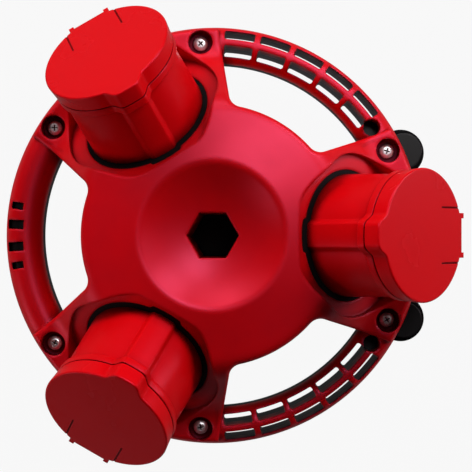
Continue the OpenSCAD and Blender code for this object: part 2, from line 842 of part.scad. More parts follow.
front_shell();
rear_shell();
housing_seal();
housing_screws();
of_socket(1) socket_body();  // socket_body_1
of_socket(2) socket_body();  // socket_body_2
of_socket(3) socket_body();  // socket_body_3
of_socket(1) socket_gasket();  // socket_gasket_1
of_socket(2) socket_gasket();  // socket_gasket_2
of_socket(3) socket_gasket();  // socket_gasket_3
of_socket(1) contact_carrier();  // contact_carrier_1
of_socket(2) contact_carrier();  // contact_carrier_2
of_socket(3) contact_carrier();  // contact_carrier_3
of_socket(1) contacts();  // contacts_1
of_socket(2) contacts();  // contacts_2
of_socket(3) contacts();  // contacts_3
of_socket(1) hinge_pin();  // hinge_pin_1
of_socket(2) hinge_pin();  // hinge_pin_2
of_socket(3) hinge_pin();  // hinge_pin_3
of_socket(1) hinge_spring();  // hinge_spring_1
of_socket(2) hinge_spring();  // hinge_spring_2
of_socket(3) hinge_spring();  // hinge_spring_3
of_socket(1) lid();  // lid_1
of_socket(2) lid();  // lid_2
of_socket(3) lid();  // lid_3
of_socket(1) lid_seal();  // lid_seal_1
of_socket(2) lid_seal();  // lid_seal_2
of_socket(3) lid_seal();  // lid_seal_3
socket_screws();
terminal_block();
terminal_clamps();
terminal_screws();
rotate([0, 0, foot_angle]) bumper();  // bumper_left
rotate([0, 0, -foot_angle]) bumper();  // bumper_right
bumper_screws();
gland_body();
gland_seal();
gland_cap();
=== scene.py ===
"""Three-outlet portable power distributor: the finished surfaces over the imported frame.

The housing, sockets, lids, screws and feet are surfaces computed with numpy, in metres,
in the frame's own coordinates. Every piece rides on a body of the frame.
"""

from __future__ import annotations

import json
import logging
import math
from collections.abc import Iterable, Sequence
from dataclasses import dataclass, field, replace
from enum import Enum

import bpy
import numpy as np
from bpy.types import Material, Mesh, Node, NodeSocket, NodeTree, Object
from mathutils import Matrix, Vector


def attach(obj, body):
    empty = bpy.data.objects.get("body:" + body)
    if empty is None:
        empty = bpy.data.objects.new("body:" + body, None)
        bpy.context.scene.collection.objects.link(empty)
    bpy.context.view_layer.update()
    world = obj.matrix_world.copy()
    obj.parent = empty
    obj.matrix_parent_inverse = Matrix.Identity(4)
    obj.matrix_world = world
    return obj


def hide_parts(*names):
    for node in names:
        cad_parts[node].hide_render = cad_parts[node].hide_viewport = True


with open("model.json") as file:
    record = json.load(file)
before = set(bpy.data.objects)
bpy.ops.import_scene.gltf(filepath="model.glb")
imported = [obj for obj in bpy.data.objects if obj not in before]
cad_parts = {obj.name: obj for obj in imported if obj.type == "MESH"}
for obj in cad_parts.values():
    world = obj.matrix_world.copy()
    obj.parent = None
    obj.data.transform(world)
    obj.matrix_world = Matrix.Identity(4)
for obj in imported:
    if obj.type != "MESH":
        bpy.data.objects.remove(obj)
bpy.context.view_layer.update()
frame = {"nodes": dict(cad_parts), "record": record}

LOG = logging.getLogger("distributor")
MM = 0.001
REST_TO_JOINT = 42.0  # height of the joint of the two shells above the rest plane, mm

Array = np.ndarray

# Ranges that the finishes read: the slow noise, where its patches let edges wear, how far a
# normal turns at an edge, and the share of open sky in a corner that sets its painted shade.
# Then the colour of that painted shade, and the share of their gloss that corners keep.
SLOW_RANGE = (0.2, 0.8)
WEAR_PATCHES = (0.35, 0.7)
EDGE_TURN = (0.985, 0.80)
PAINTED_SHADE_SKY = (0.95, 0.3)
PAINTED_SHADE_COLOUR = "#1a0002"
PAINTED_SHADE_GLOSS = 0.1


class Lobe(Enum):
    """A lobe of the housing; the value is its number in the names of its nodes."""

    ONE = 1
    TWO = 2
    THREE = 3

    @property
    def turn(self) -> float:
        """Angle of the lobe about the hub axis, in radians."""
        return math.radians(120.0 * (self.value - 1))

    @property
    def lid_body(self) -> str:
        """Name of the body that this lobe's lid rides on."""
        return f"lid_body_{self.value}"


class Body(Enum):
    """Bodies that don't belong to one lobe."""

    HOUSING = "housing"


# ---- Finishes ----


def linear(code: str) -> tuple[float, float, float, float]:
    """Turn an sRGB hex colour into a linear colour.

    Args:
        code: Six hex digits after a #.

    Returns:
        Linear red, green, blue and an alpha of 1.
    """
    values = [int(code[i : i + 2], 16) / 255 for i in (1, 3, 5)]
    return (*[v / 12.92 if v <= 0.04045 else ((v + 0.055) / 1.055) ** 2.4 for v in values], 1.0)


def add(
    tree: NodeTree,
    kind: str,
    inputs: dict[str | int, object] | None = None,
    **settings: object,
) -> Node:
    """Add a node to a tree with its settings, values and links.

    Args:
        tree: The node tree.
        kind: The node's type name.
        inputs: For each input, a value or the output that feeds it.
        settings: Properties of the node.

    Returns:
        The new node.
    """
    node = tree.nodes.new(kind)
    for key, value in settings.items():
        setattr(node, key, value)
    for key, value in (inputs or {}).items():
        if isinstance(value, NodeSocket):
            tree.links.new(value, node.inputs[key])
        else:
            node.inputs[key].default_value = value
    return node


@dataclass(frozen=True)
class Finish:
    """A solid finish: colour with slow variation, a fine texture, worn edges and painted shade.

    Lengths are in millimetres. patch is the size of the slow variation between colour and
    shade, and spread is how far it moves the roughness. grain is the size of the surface
    texture's cells and grain_depth its height. edge is the radius that the eye reads on
    the piece's edges, and wear the share of the worn colour there. gloss is the strength
    and tint the colour of reflections. cavity is the strength of painted shade in corners:
    how far their colour is darkened and their gloss dimmed, judged within reach.
    """

    name: str
    slot: str
    colour: str
    shade: str
    roughness: float
    spread: float
    ior: float = 1.5
    metallic: float = 0.0
    grain: float = 0.5
    grain_depth: float = 0.01
    patch: float = 45.0
    edge: float = 0.6
    wear: float = 0.25
    worn: str = "#ffffff"
    gloss: float = 0.5
    tint: str = "#ffffff"
    cavity: float = 0.0
    reach: float = 14.0

    def material(self) -> Material:
        """Build the finish as a node material, or return it if it exists.

        Returns:
            The material.
        """
        known = bpy.data.materials.get(self.name)
        if known is not None:
            return known
        made = bpy.data.materials.new(self.name)
        made.use_nodes = True
        tree = made.node_tree
        tree.nodes.clear()
        place = add(tree, "ShaderNodeTexCoord").outputs["Object"]
        # One unit of the mapped space is a millimetre.
        scaled = add(
            tree, "ShaderNodeMapping", {"Vector": place, "Scale": (1 / MM,) * 3}
        ).outputs["Vector"]
        slow, fine = (
            add(tree, "ShaderNodeTexNoise", {
                "Vector": scaled, "Scale": 1 / cell, "Detail": detail, "Roughness": rough,
            }).outputs["Fac"]
            for cell, detail, rough in ((self.patch, 3.0, 0.55), (self.grain, 2.0, 0.6))
        )
        soft = add(
            tree, "ShaderNodeBevel", {"Radius": self.edge * MM}, samples=6
        ).outputs["Normal"]
        flat = add(tree, "ShaderNodeNewGeometry").outputs["Normal"]
        aligned = add(
            tree, "ShaderNodeVectorMath", {0: soft, 1: flat}, operation="DOT_PRODUCT"
        ).outputs["Value"]
        edge = add(tree, "ShaderNodeMapRange", {
            "Value": aligned, "From Min": EDGE_TURN[0], "From Max": EDGE_TURN[1],
        }).outputs["Result"]
        uneven = add(tree, "ShaderNodeMapRange", {
            "Value": slow, "From Min": WEAR_PATCHES[0], "From Max": WEAR_PATCHES[1],
            "To Min": 0.2, "To Max": 1.0,
        }).outputs["Result"]
        rubbed = add(
            tree, "ShaderNodeMath", {0: edge, 1: uneven}, operation="MULTIPLY"
        ).outputs["Value"]
        # The slow noise sets both the colour and the roughness.
        limits = (self.roughness - self.spread, self.roughness + self.spread)
        tone, rough = (
            add(tree, "ShaderNodeMapRange", {
                "Value": slow, "From Min": SLOW_RANGE[0], "From Max": SLOW_RANGE[1],
                "To Min": low, "To Max": high,
            }, interpolation_type="SMOOTHSTEP").outputs["Result"]
            for low, high in ((0.0, 1.0), limits)
        )
        body = add(tree, "ShaderNodeMix", {
            0: tone, 6: linear(self.colour), 7: linear(self.shade),
        }, data_type="RGBA").outputs[2]
        share = add(
            tree, "ShaderNodeMath", {0: rubbed, 1: self.wear}, operation="MULTIPLY"
        ).outputs["Value"]
        colour = add(tree, "ShaderNodeMix", {
            0: share, 6: body, 7: linear(self.worn),
        }, data_type="RGBA").outputs[2]
        gloss: float | NodeSocket = self.gloss
        # Painted shade: ambient occlusion darkens the colour and dims the gloss in corners.
        if self.cavity:
            opened = add(
                tree, "ShaderNodeAmbientOcclusion", {"Distance": self.reach * MM}, samples=8
            ).outputs["AO"]
            closed = add(tree, "ShaderNodeMapRange", {
                "Value": opened, "From Min": PAINTED_SHADE_SKY[0], "From Max": PAINTED_SHADE_SKY[1],
                "To Max": self.cavity,
            }).outputs["Result"]
            colour = add(tree, "ShaderNodeMix", {
                0: closed, 6: colour, 7: linear(PAINTED_SHADE_COLOUR),
            }, data_type="RGBA").outputs[2]
            gloss = add(tree, "ShaderNodeMapRange", {
                "Value": closed, "To Min": self.gloss, "To Max": PAINTED_SHADE_GLOSS * self.gloss,
            }).outputs["Result"]
        relief = add(tree, "ShaderNodeBump", {
            "Height": fine, "Strength": 1.0, "Distance": self.grain_depth * MM, "Normal": soft,
        }).outputs["Normal"]
        shader = add(tree, "ShaderNodeBsdfPrincipled", {
            "Base Color": colour, "Roughness": rough, "Metallic": self.metallic,
            "IOR": self.ior, "Specular IOR Level": gloss, "Specular Tint": linear(self.tint),
            "Normal": relief,
        }).outputs["BSDF"]
        add(tree, "ShaderNodeOutputMaterial", {"Surface": shader})
        return made

    def dress(self, thing: Object) -> None:
        """Give a piece or a CAD node this finish in all its slots.

        Args:
            thing: The piece or node.
        """
        made = self.material()
        if not thing.material_slots:
            thing.data.materials.append(made)
        for place in thing.material_slots:
            place.link = "OBJECT" if thing.name in frame["nodes"] else place.link
            place.material = made


# Glass-filled polyamide from a spark-eroded mould: deep red, satin, with a fine even grain
# that breaks the reflections up. Rubbed edges turn lighter.
# Its corners, screw wells and recesses are darkened by strong painted shade.
RED_SHELL = Finish(
    "moulded_polyamide_red", "red_housing", "#d8040c", "#ca040b", 0.38, 0.03,
    grain=0.45, grain_depth=0.006, edge=2.8, wear=0.03, worn="#ff5a62", gloss=0.72,
    cavity=0.95, reach=10.0, tint="#ff6a98",
)
# The same polymer from a smoother mould: the sockets' tubes are shinier, with less sheen.
# The sockets keep the shell's painted shade in their corners.
RED_SOCKET = replace(
    RED_SHELL, name="moulded_polyamide_socket", slot="red_socket", roughness=0.31, gloss=0.34,
    colour="#dc040b", shade="#cd040a", edge=1.0, grain_depth=0.004,
)
# Lid caps, from a polished mould: the smoothest and most even of the red pieces.
# The lids keep the same painted shade in their corners.
RED_LID = replace(
    RED_SHELL, name="moulded_polyamide_lid", slot="red_lid", roughness=0.27, gloss=0.3,
    colour="#dd050d", shade="#d9050d", spread=0.008, edge=0.9, grain_depth=0.003,
)
# Black polyamide of the rear shell: carbon black, satin, the same spark-eroded grain.
BLACK_SHELL = Finish(
    "moulded_polyamide_black", "black_housing", "#0a0a0b", "#0f0f10", 0.38, 0.04,
    ior=1.53, gloss=0.12, grain=0.45, grain_depth=0.008, edge=1.4, wear=0.12, worn="#4a4a4c",
)
# Black polyamide of the cable gland: smoother, with sharper edges.
GLAND = replace(
    BLACK_SHELL, name="moulded_polyamide_gland", slot="gland_plastic", roughness=0.3, edge=0.8,
)
# Dark grey thermoset that holds the contacts: matt, slightly mottled.
CARRIER = Finish(
    "moulded_thermoset_grey", "carrier_plastic", "#3a3b3e", "#303134", 0.55, 0.05,
    ior=1.55, grain=0.6, grain_depth=0.01, edge=0.5, wear=0.15, worn="#77787a",
)
# Pale grey polyamide of the terminal block.
BLOCK = replace(
    CARRIER, name="moulded_polyamide_grey", slot="block_plastic",
    colour="#c4c4bf", shade="#b8b8b2", worn="#e8e8e4",
)
# Moulded seal rubber, EPDM: black, matt, with a faint bloom.
SEAL = Finish(
    "moulded_epdm_seal", "seal_rubber", "#060607", "#0a0a0b", 0.62, 0.06,
    gloss=0.08, grain=0.35, grain_depth=0.012, edge=0.5, wear=0.1, worn="#3c3c3d",
)
# Foot rubber: the dullest of the blacks, with a coarse moulded grain.
FOOT = replace(
    SEAL, name="moulded_rubber_foot", slot="foot_rubber", roughness=0.6, gloss=0.03,
    grain=0.9, grain_depth=0.03, edge=1.2,
)
# Zinc-plated, bright-passivated steel of the screws: pale, with painted shade in its slots.
STEEL = Finish(
    "plated_steel_screw", "screw_steel", "#f6f7f9", "#eef0f3", 0.3, 0.05,
    metallic=0.4, cavity=0.95, reach=3.5, grain=0.25, grain_depth=0.003, patch=6.0, edge=0.3,
    wear=0.3, worn="#f4f4f6",
)
# Drawn spring steel of springs and pins: darker and fully metallic.
SPRING = replace(
    STEEL, name="drawn_steel_spring", slot="spring_steel", colour="#b9bcc2", shade="#a5a8ae",
    roughness=0.28, metallic=1.0, cavity=0.0,
)
# Turned brass of the contacts and clamps.
BRASS = replace(
    STEEL, name="turned_brass_contact", slot="contact_brass", colour="#d9b45a", shade="#c49d45",
    roughness=0.24, worn="#f0d890", metallic=1.0, cavity=0.0,
)


# ---- Surfaces ----


@dataclass
class Surface:
    """A mesh as arrays: points in millimetres and faces of three or four corners."""

    points: Array
    quads: Array = field(default_factory=lambda: np.zeros((0, 4), int))
    tris: Array = field(default_factory=lambda: np.zeros((0, 3), int))

    def moved(self, matrix: Array) -> Surface:
        """Return the surface after a 4 by 4 transform."""
        moved = self.points @ matrix[:3, :3].T + matrix[:3, 3]
        return Surface(moved, self.quads, self.tris)

    def joined(self, *others: Surface) -> Surface:
        """Return one surface that holds this one and the others side by side.

        Args:
            others: Surfaces to put beside this one.

        Returns:
            The surface.
        """
        parts = (self, *others)
        starts = np.cumsum([0] + [len(p.points) for p in parts])
        return Surface(
            np.concatenate([p.points for p in parts]),
            np.concatenate([p.quads + s for p, s in zip(parts, starts)]),
            np.concatenate([p.tris + s for p, s in zip(parts, starts)]),
        )

    def outward(self) -> Surface:
        """Return the closed surface with its faces pointing out, by the sign of its volume.

        Returns:
            The surface.
        """
        split = np.concatenate([self.quads[:, [0, 1, 2]], self.quads[:, [0, 2, 3]], self.tris])
        a, b, c = (self.points[split[:, i]] for i in range(3))
        if np.einsum("ij,ij->i", a, np.cross(b, c)).sum() < 0:
            return Surface(self.points, self.quads[:, ::-1], self.tris[:, ::-1])
        return self

    def mesh(self, name: str) -> Mesh:
        """Put the surface into a Blender mesh, in metres.

        Args:
            name: Name of the mesh.

        Returns:
            The mesh.
        """
        made = bpy.data.meshes.new(name)
        corners = np.concatenate([self.quads.ravel(), self.tris.ravel()]).astype(np.int32)
        totals = np.repeat([4, 3], [len(self.quads), len(self.tris)]).astype(np.int32)
        starts = np.concatenate([[0], np.cumsum(totals)[:-1]]).astype(np.int32)
        made.vertices.add(len(self.points))
        made.loops.add(len(corners))
        made.polygons.add(len(totals))
        made.vertices.foreach_set("co", (self.points * MM).astype(np.float32).ravel())
        made.loops.foreach_set("vertex_index", corners)
        made.polygons.foreach_set("loop_start", starts)
        made.update(calc_edges=True)
        made.validate()
        return made


def loft(rings: Array, closed: bool = False, start: bool = True, end: bool = True) -> Surface:
    """Skin a stack of closed rings; point j of ring i joins point j of ring i + 1.

    Args:
        rings: Array of shape (rings, points, 3).
        closed: The last ring joins the first, and there are no caps.
        start: Close the first ring with a fan round its centre.
        end: Close the last ring in the same way.

    Returns:
        The surface, with its faces pointing out.
    """
    count, around = rings.shape[:2]
    index = np.arange(count * around).reshape(count, around)
    low = index if closed else index[:-1]
    high = np.roll(index, -1, axis=0) if closed else index[1:]
    quads = np.stack(
        [low, np.roll(low, -1, axis=1), np.roll(high, -1, axis=1), high], axis=-1
    ).reshape(-1, 4)
    points = rings.reshape(-1, 3)
    tris = np.zeros((0, 3), int)
    for ring, wanted, order in ((0, start, 1), (count - 1, end, -1)):
        if wanted and not closed:
            pole = len(points)
            points = np.vstack([points, rings[ring].mean(axis=0)])
            a, b = np.roll(index[ring], -1), index[ring]
            fan = np.stack([a, b, np.full(around, pole)], axis=-1)
            tris = np.concatenate([tris, fan[:, ::order]])
    return Surface(points, quads, tris).outward()


def arc(centre: Sequence[float], radius: float, start: float, stop: float, count: int) -> Array:
    """Points on a circular arc, without its last point.

    Args:
        centre: Centre of the arc.
        radius: Its radius.
        start: Angle of the first point, radians.
        stop: Angle that the arc ends at.
        count: Number of points.

    Returns:
        Array of shape (count, 2).
    """
    angles = start + (stop - start) * np.arange(count) / count
    return np.stack([centre[0] + radius * np.cos(angles), centre[1] + radius * np.sin(angles)], -1)


def at_height(plan: Array, z: float | Array) -> Array:
    """Plane points raised to a height, or each to its own."""
    return np.column_stack([plan, np.broadcast_to(z, len(plan))])


def segment(start: Array, stop: Array, count: int) -> Array:
    """Points on a straight line, without its last point."""
    return start + (stop - start) * (np.arange(count) / count)[:, None]


def angle_of(vector: Array) -> float:
    """Angle of a plane vector, radians."""
    return math.atan2(vector[1], vector[0])


def turned(points: Array, angle: float) -> Array:
    """Plane points turned about the origin."""
    c, s = math.cos(angle), math.sin(angle)
    return points @ np.array([[c, s], [-s, c]])


def profile(corners: Sequence[tuple[float, float, float]], steps: int = 10) -> Array:
    """Polyline through corners, each rounded to its own radius.

    Each round is the circular arc that touches both neighbouring edges.

    Args:
        corners: Horizontal place, height and radius of each corner.
        steps: Number of steps in a round.

    Returns:
        Array of shape (n, 2).
    """
    points: list[Array] = []
    for i, (x, y, radius) in enumerate(corners):
        here = np.array([x, y])
        if radius <= 0 or i in (0, len(corners) - 1):
            points.append(here[None])
            continue
        u, v = (np.array(corners[j][:2]) - here for j in (i - 1, i + 1))
        u, v = u / np.linalg.norm(u), v / np.linalg.norm(v)
        half = math.acos(float(np.clip(u @ v, -1, 1))) / 2
        middle = here + (u + v) / np.linalg.norm(u + v) * radius / math.sin(half)
        first = angle_of(here + u * radius / math.tan(half) - middle)
        last = angle_of(here + v * radius / math.tan(half) - middle)
        sweep = (last - first + math.pi) % (2 * math.pi) - math.pi
        angles = first + sweep * np.arange(steps + 1) / steps
        points.append(middle + radius * np.stack([np.cos(angles), np.sin(angles)], -1))
    return np.concatenate(points)


def revolve(section: Array, around: int = 96, closed: bool = False) -> Surface:
    """Turn a section about the Z axis.

    Args:
        section: Points (radius, height); open sections start and end near the axis.
        around: Number of points round the axis.
        closed: The section is a closed loop away from the axis.

    Returns:
        The surface of revolution.
    """
    angles = 2 * math.pi * np.arange(around) / around
    ring = np.stack([np.cos(angles), np.sin(angles)], -1)
    rings = np.stack([at_height(radius * ring, z) for radius, z in section])
    return loft(rings, closed=closed)


def prism(plan: Array, low: float, high: float) -> Surface:
    """Extrude a plane outline along Z between two heights."""
    return loft(np.stack([at_height(plan, z) for z in (low, high)]))


def cylinder(radius: float, low: float, high: float, around: int = 64) -> Surface:
    """A cylinder along Z between two heights, as a prism on a circle."""
    return prism(arc((0, 0), radius, 0, 2 * math.pi, around), low, high)


def block(low: Sequence[float], high: Sequence[float]) -> Surface:
    """A box between two corners."""
    (x0, y0, z0), (x1, y1, z1) = low, high
    return prism(np.array([[x0, y0], [x1, y0], [x1, y1], [x0, y1]]), z0, z1)


def shift(x: float, y: float, z: float) -> Array:
    """Transform that moves by a vector.

    Args:
        x, y, z: The vector.

    Returns:
        The 4 by 4 transform.
    """
    made = np.eye(4)
    made[:3, 3] = (x, y, z)
    return made


def spin(axis: str, angle: float) -> Array:
    """Transform that turns about a coordinate axis, by an angle in radians.

    Args:
        axis: x, y or z.
        angle: The angle, anticlockwise seen from the axis's tip.

    Returns:
        The 4 by 4 transform.
    """
    c, s = math.cos(angle), math.sin(angle)
    i, j = {"x": (1, 2), "y": (2, 0), "z": (0, 1)}[axis]
    made = np.eye(4)
    made[i, i], made[i, j], made[j, i], made[j, j] = c, -s, s, c
    return made


def copies(surface: Surface, matrices: Iterable[Array]) -> Surface:
    """Copies of a surface at each transform, side by side in one surface."""
    made = [surface.moved(matrix) for matrix in matrices]
    return made[0].joined(*made[1:])


RAISE = shift(0, 0, REST_TO_JOINT)


def read(items: Sequence, name: str, width: int = 1, kind: type = np.float32) -> Array:
    """A property of each item of a mesh, as rows of an array.

    Args:
        items: The mesh's vertices, loops, faces or triangles.
        name: Name of the property.
        width: Number of values for each item.
        kind: Type of the values.

    Returns:
        Array of shape (items, width), or (items,) where width is 1.
    """
    out = np.empty(len(items) * width, kind)
    items.foreach_get(name, out)
    return out.reshape(-1, width) if width > 1 else out


def even_normals(mesh: Mesh, sharp: float) -> Array:
    """Normals at a mesh's corners that keep its flat faces flat.

    At each corner the normals of the faces round its vertex are added up, as far as they
    turn by less than the sharp angle. Each counts with the area of the whole plane that
    its face is part of.

    Args:
        mesh: The mesh.
        sharp: Angle from which an edge stays sharp, in radians.

    Returns:
        Array of shape (corners, 3).
    """
    faces, corners = len(mesh.polygons), len(mesh.loops)
    normal, centre = (read(mesh.polygons, name, 3) for name in ("normal", "center"))
    area, total = read(mesh.polygons, "area"), read(mesh.polygons, "loop_total", 1, np.int32)
    vertex = read(mesh.loops, "vertex_index", 1, np.int32)
    offset = (normal * centre).sum(axis=1)
    plane = np.round(np.column_stack([normal * 1e3, offset * 1e5])).astype(np.int64)
    _, group = np.unique(plane, axis=0, return_inverse=True)
    group = group.reshape(-1)
    share = np.bincount(group, weights=area)[group]
    face = np.repeat(np.arange(faces), total)
    order = np.argsort(vertex, kind="stable")
    count = np.bincount(vertex)
    start = np.cumsum(count) - count
    times = count[vertex[order]]
    first = np.repeat(order, times)
    step = np.arange(len(first)) - np.repeat(np.cumsum(times) - times, times)
    second = order[np.repeat(start[vertex[order]], times) + step]
    near = (normal[face[first]] * normal[face[second]]).sum(axis=1) > math.cos(sharp)
    weight = np.where(near, share[face[second]], 0.0)
    out = np.stack(
        [np.bincount(first, weight * normal[face[second], k], corners) for k in range(3)], axis=1
    )
    size = np.linalg.norm(out, axis=1, keepdims=True)
    return np.where(size > 1e-12, out / np.maximum(size, 1e-12), normal[face])


class Operation(Enum):
    """How a body joins with another one."""

    ADD = "UNION"
    CUT = "DIFFERENCE"
    KEEP = "INTERSECT"


class Solid:
    """A closed body that other closed bodies are joined to, cut from or kept inside."""

    def __init__(self, name: str, surface: Surface) -> None:
        """Start from one closed surface."""
        self.thing = bpy.data.objects.new(name, surface.mesh(name))
        bpy.context.scene.collection.objects.link(self.thing)

    def apply(self, operation: Operation, *others: Surface | Solid) -> Solid:
        """Join, cut or intersect with each of the other bodies in turn.

        Args:
            operation: What happens to the body.
            others: Closed surfaces or solids; a solid is used up.

        Returns:
            This solid.
        """
        for other in others:
            second = other if isinstance(other, Solid) else Solid("second", other)
            change = self.thing.modifiers.new("change", "BOOLEAN")
            change.operation = operation.value
            change.solver = "MANIFOLD"
            change.object = second.thing
            self.settle()
            second.discard()
        return self

    def add(self, *others: Surface | Solid) -> Solid:
        """Join other bodies to this one."""
        return self.apply(Operation.ADD, *others)

    def cut(self, *others: Surface | Solid) -> Solid:
        """Cut other bodies out of this one."""
        return self.apply(Operation.CUT, *others)

    def keep(self, *others: Surface | Solid) -> Solid:
        """Keep only what is inside the other bodies."""
        return self.apply(Operation.KEEP, *others)

    def settle(self) -> None:
        """Turn the modifiers' result into the mesh itself."""
        bpy.context.view_layer.update()
        graph = bpy.context.evaluated_depsgraph_get()
        made = bpy.data.meshes.new_from_object(self.thing.evaluated_get(graph))
        self.thing.modifiers.clear()
        old = self.thing.data
        self.thing.data = made
        bpy.data.meshes.remove(old)

    def discard(self) -> None:
        """Remove the body from the scene."""
        mesh = self.thing.data
        bpy.data.objects.remove(self.thing)
        bpy.data.meshes.remove(mesh)

    def finish(
        self, name: str, finish: Finish, body: str, nodes: Iterable[str], sharp: float = 32.0
    ) -> Object:
        """Shade, dress and mount the body as a piece.

        Args:
            name: Name of the piece.
            finish: Its finish.
            body: The body that it rides on.
            nodes: CAD nodes that it stands for.
            sharp: Edges that turn by more than this angle, in degrees, stay sharp.

        Returns:
            The piece.
        """
        piece = self.thing
        piece.name = piece.data.name = name
        mesh = piece.data
        mesh.materials.clear()
        mesh.shade_smooth()
        mesh.normals_split_custom_set(even_normals(mesh, math.radians(sharp)).tolist())
        finish.dress(piece)
        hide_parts(*nodes)
        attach(piece, body)
        LOG.info("%s: %d faces on %s", name, len(mesh.polygons), body)
        return piece


def read_back(solid: Solid) -> Surface:
    """Read a solid back into arrays, in millimetres.

    Args:
        solid: The solid, which stays as it is.

    Returns:
        Its surface, of triangles.
    """
    mesh = solid.thing.data
    mesh.calc_loop_triangles()
    points = read(mesh.vertices, "co", 3).astype(float)
    return Surface(points / MM, tris=read(mesh.loop_triangles, "vertices", 3, np.int32))


def place(solid: Solid, matrix: Array) -> None:
    """Move a solid's mesh by a transform in millimetres.

    Args:
        solid: The solid.
        matrix: The transform.
    """
    metres = matrix.copy()
    metres[:3, 3] *= MM
    solid.thing.data.transform(Matrix(metres.tolist()))


# ---- Housing ----


@dataclass(frozen=True)
class Plan:
    """Plan of the hub and its three lobes, in millimetres."""

    hub: float = 87.0
    ring: float = 150.0
    offset: float = 24.5
    spread: float = math.radians(21.6)
    fillet: float = 9.0
    corner: float = 4.0

    def outline(self, inset: float = 0.0) -> Array:
        """Closed outline, moved inwards.

        Half a lobe is an arc of the ring, a corner round, the straight side, the fillet
        to the hub and an arc of the hub. Each arc keeps its centre, and its radius grows
        or shrinks by the inset, so every inset has the same number of points.

        Args:
            inset: Distance from the true outline.

        Returns:
            Array of shape (n, 2), anticlockwise.
        """
        along = np.array([math.cos(self.spread), math.sin(self.spread)])
        out = np.array([-along[1], along[0]])
        side = self.offset - self.corner
        tip = along * math.sqrt((self.ring - self.corner) ** 2 - side**2) + out * side
        side = self.offset + self.fillet
        root = along * math.sqrt((self.hub + self.fillet) ** 2 - side**2) + out * side
        a_tip, a_out, a_root = angle_of(tip), angle_of(out), angle_of(root)
        half = np.concatenate([
            arc((0, 0), self.ring - inset, 0, a_tip, 18),
            arc(tip, self.corner - inset, a_tip, a_out, 7),
            segment(tip + out * (self.corner - inset), root - out * (self.fillet + inset), 34),
            arc(root, self.fillet + inset, a_out - math.pi, a_root - math.pi, 14),
            arc((0, 0), self.hub - inset, a_root, math.pi / 3, 12),
        ])
        mirrored = np.vstack([turned(np.array([[self.hub - inset, 0]]), math.pi / 3), half[::-1]])
        mirrored = (mirrored * [1, -1])[:-1]
        third = np.concatenate([mirrored, half])
        return np.concatenate([turned(third, i * 2 * math.pi / 3) for i in range(3)])


@dataclass(frozen=True)
class Shell:
    """A shell's outside: a plan with a face whose height follows the radius."""

    plan: Plan
    face: Array
    base: float
    edge: float
    lean: float
    radii: Array
    bands: int
    rise: float = 17.0
    edge_steps: int = 8
    crowding: float = 0.8

    def height(self, radius: Array) -> Array:
        """Height of the face at each radius, read from its section."""
        return np.interp(radius, self.face[:, 0], self.face[:, 1])

    def surface(self, inset: float = 0.0, drop: float = 0.0) -> Surface:
        """Closed surface of the shell, moved inwards.

        The side rises along the outline, and the rim leans in by lean over the rise. The edge
        is a quarter circle: where it is at the distance e (1 - cos a) from the outline, it
        lies e (1 - sin a) below the face. The face runs in bands to a circle and in circles
        to the axis. The bands are closer together near the outline.

        Args:
            inset: Distance of the side from the true outline.
            drop: Distance of the face below the true face.

        Returns:
            The surface.
        """
        sign = math.copysign(1.0, self.height(np.array([0.0]))[0] - self.base)
        outline = self.plan.outline(inset)
        rings = [at_height(outline, self.base)]
        for a in np.arange(self.edge_steps + 1) / self.edge_steps * math.pi / 2:
            side, below = self.edge * (1 - math.cos(a)), self.edge * (1 - math.sin(a))
            outline = self.plan.outline(inset + side)
            reach = np.linalg.norm(outline, axis=1)
            z = self.height(reach) - sign * (drop + below)
            limit = self.plan.ring - inset - side
            limit = limit - self.lean * np.clip(sign * z / self.rise, 0, 1)
            outline = outline * np.minimum(1, limit / reach)[:, None]
            rings.append(at_height(outline, z))
        unit = outline / np.linalg.norm(outline, axis=1)[:, None]
        circle = unit * self.radii[0]
        for step in range(1, self.bands + 1):
            points = outline + (circle - outline) * (step / self.bands) ** self.crowding
            z = self.height(np.linalg.norm(points, axis=1)) - sign * drop
            rings.append(at_height(points, z))
        for radius in self.radii[1:]:
            rings.append(at_height(unit * radius, self.height(radius) - sign * drop))
        return loft(np.stack(rings))


@dataclass(frozen=True)
class Tube:
    """The ring that the lobes carry: an oval section turned about the hub axis."""

    middle: float = 137.0
    half_width: float = 13.0
    half_height: float = 15.0
    front_power: float = 0.95
    rear_power: float = 0.4
    around: int = 300

    def section(self, side: int, wall: float, count: int = 26) -> Array:
        """Half of the oval: cos a along the radius and sin a in height, each to a power.

        The power is 0.95 in the front half, nearly an ellipse, and 0.4 in the rear half,
        which is squarer.

        Args:
            side: 1 for the upper half and -1 for the lower half.
            wall: Distance inside the true section.
            count: Number of steps.

        Returns:
            Closed section, (radius, height).
        """
        a = np.linspace(0, math.pi, count)
        power = self.front_power if side > 0 else self.rear_power
        c, s = np.cos(a), np.clip(np.sin(a), 0, 1)
        c, s = np.where(abs(c) < 1e-9, 0, c), np.where(s < 1e-9, 0, s)
        radius = self.middle + (self.half_width - wall) * np.sign(c) * abs(c) ** power
        return np.column_stack([radius, side * (self.half_height - wall) * s**power])

    def half(self, side: int) -> Surface:
        """Half of the whole ring, solid."""
        return revolve(self.section(side, 0), self.around, closed=True)

    def hollow(self, side: int, span: float = math.radians(23), wall: float = 3.0) -> Surface:
        """Cavity of the hollow grip, opposite lobe one.

        Args:
            side: 1 for the upper half and -1 for the lower half.
            span: Half of the angle that the cavity spans.
            wall: The grip's wall.

        Returns:
            A closed sector of the ring.
        """
        section = self.section(side, wall)
        # The cavity reaches 1 mm past the joint, so that the cut is open there.
        section[[0, -1], 1] -= side * 1.0
        radius, z = section.T
        angles = np.linspace(math.pi - span, math.pi + span, 60)
        return loft(np.stack(
            [np.column_stack([radius * math.cos(a), radius * math.sin(a), z]) for a in angles]
        ))


PLAN = Plan()
LOBES = tuple(Lobe)


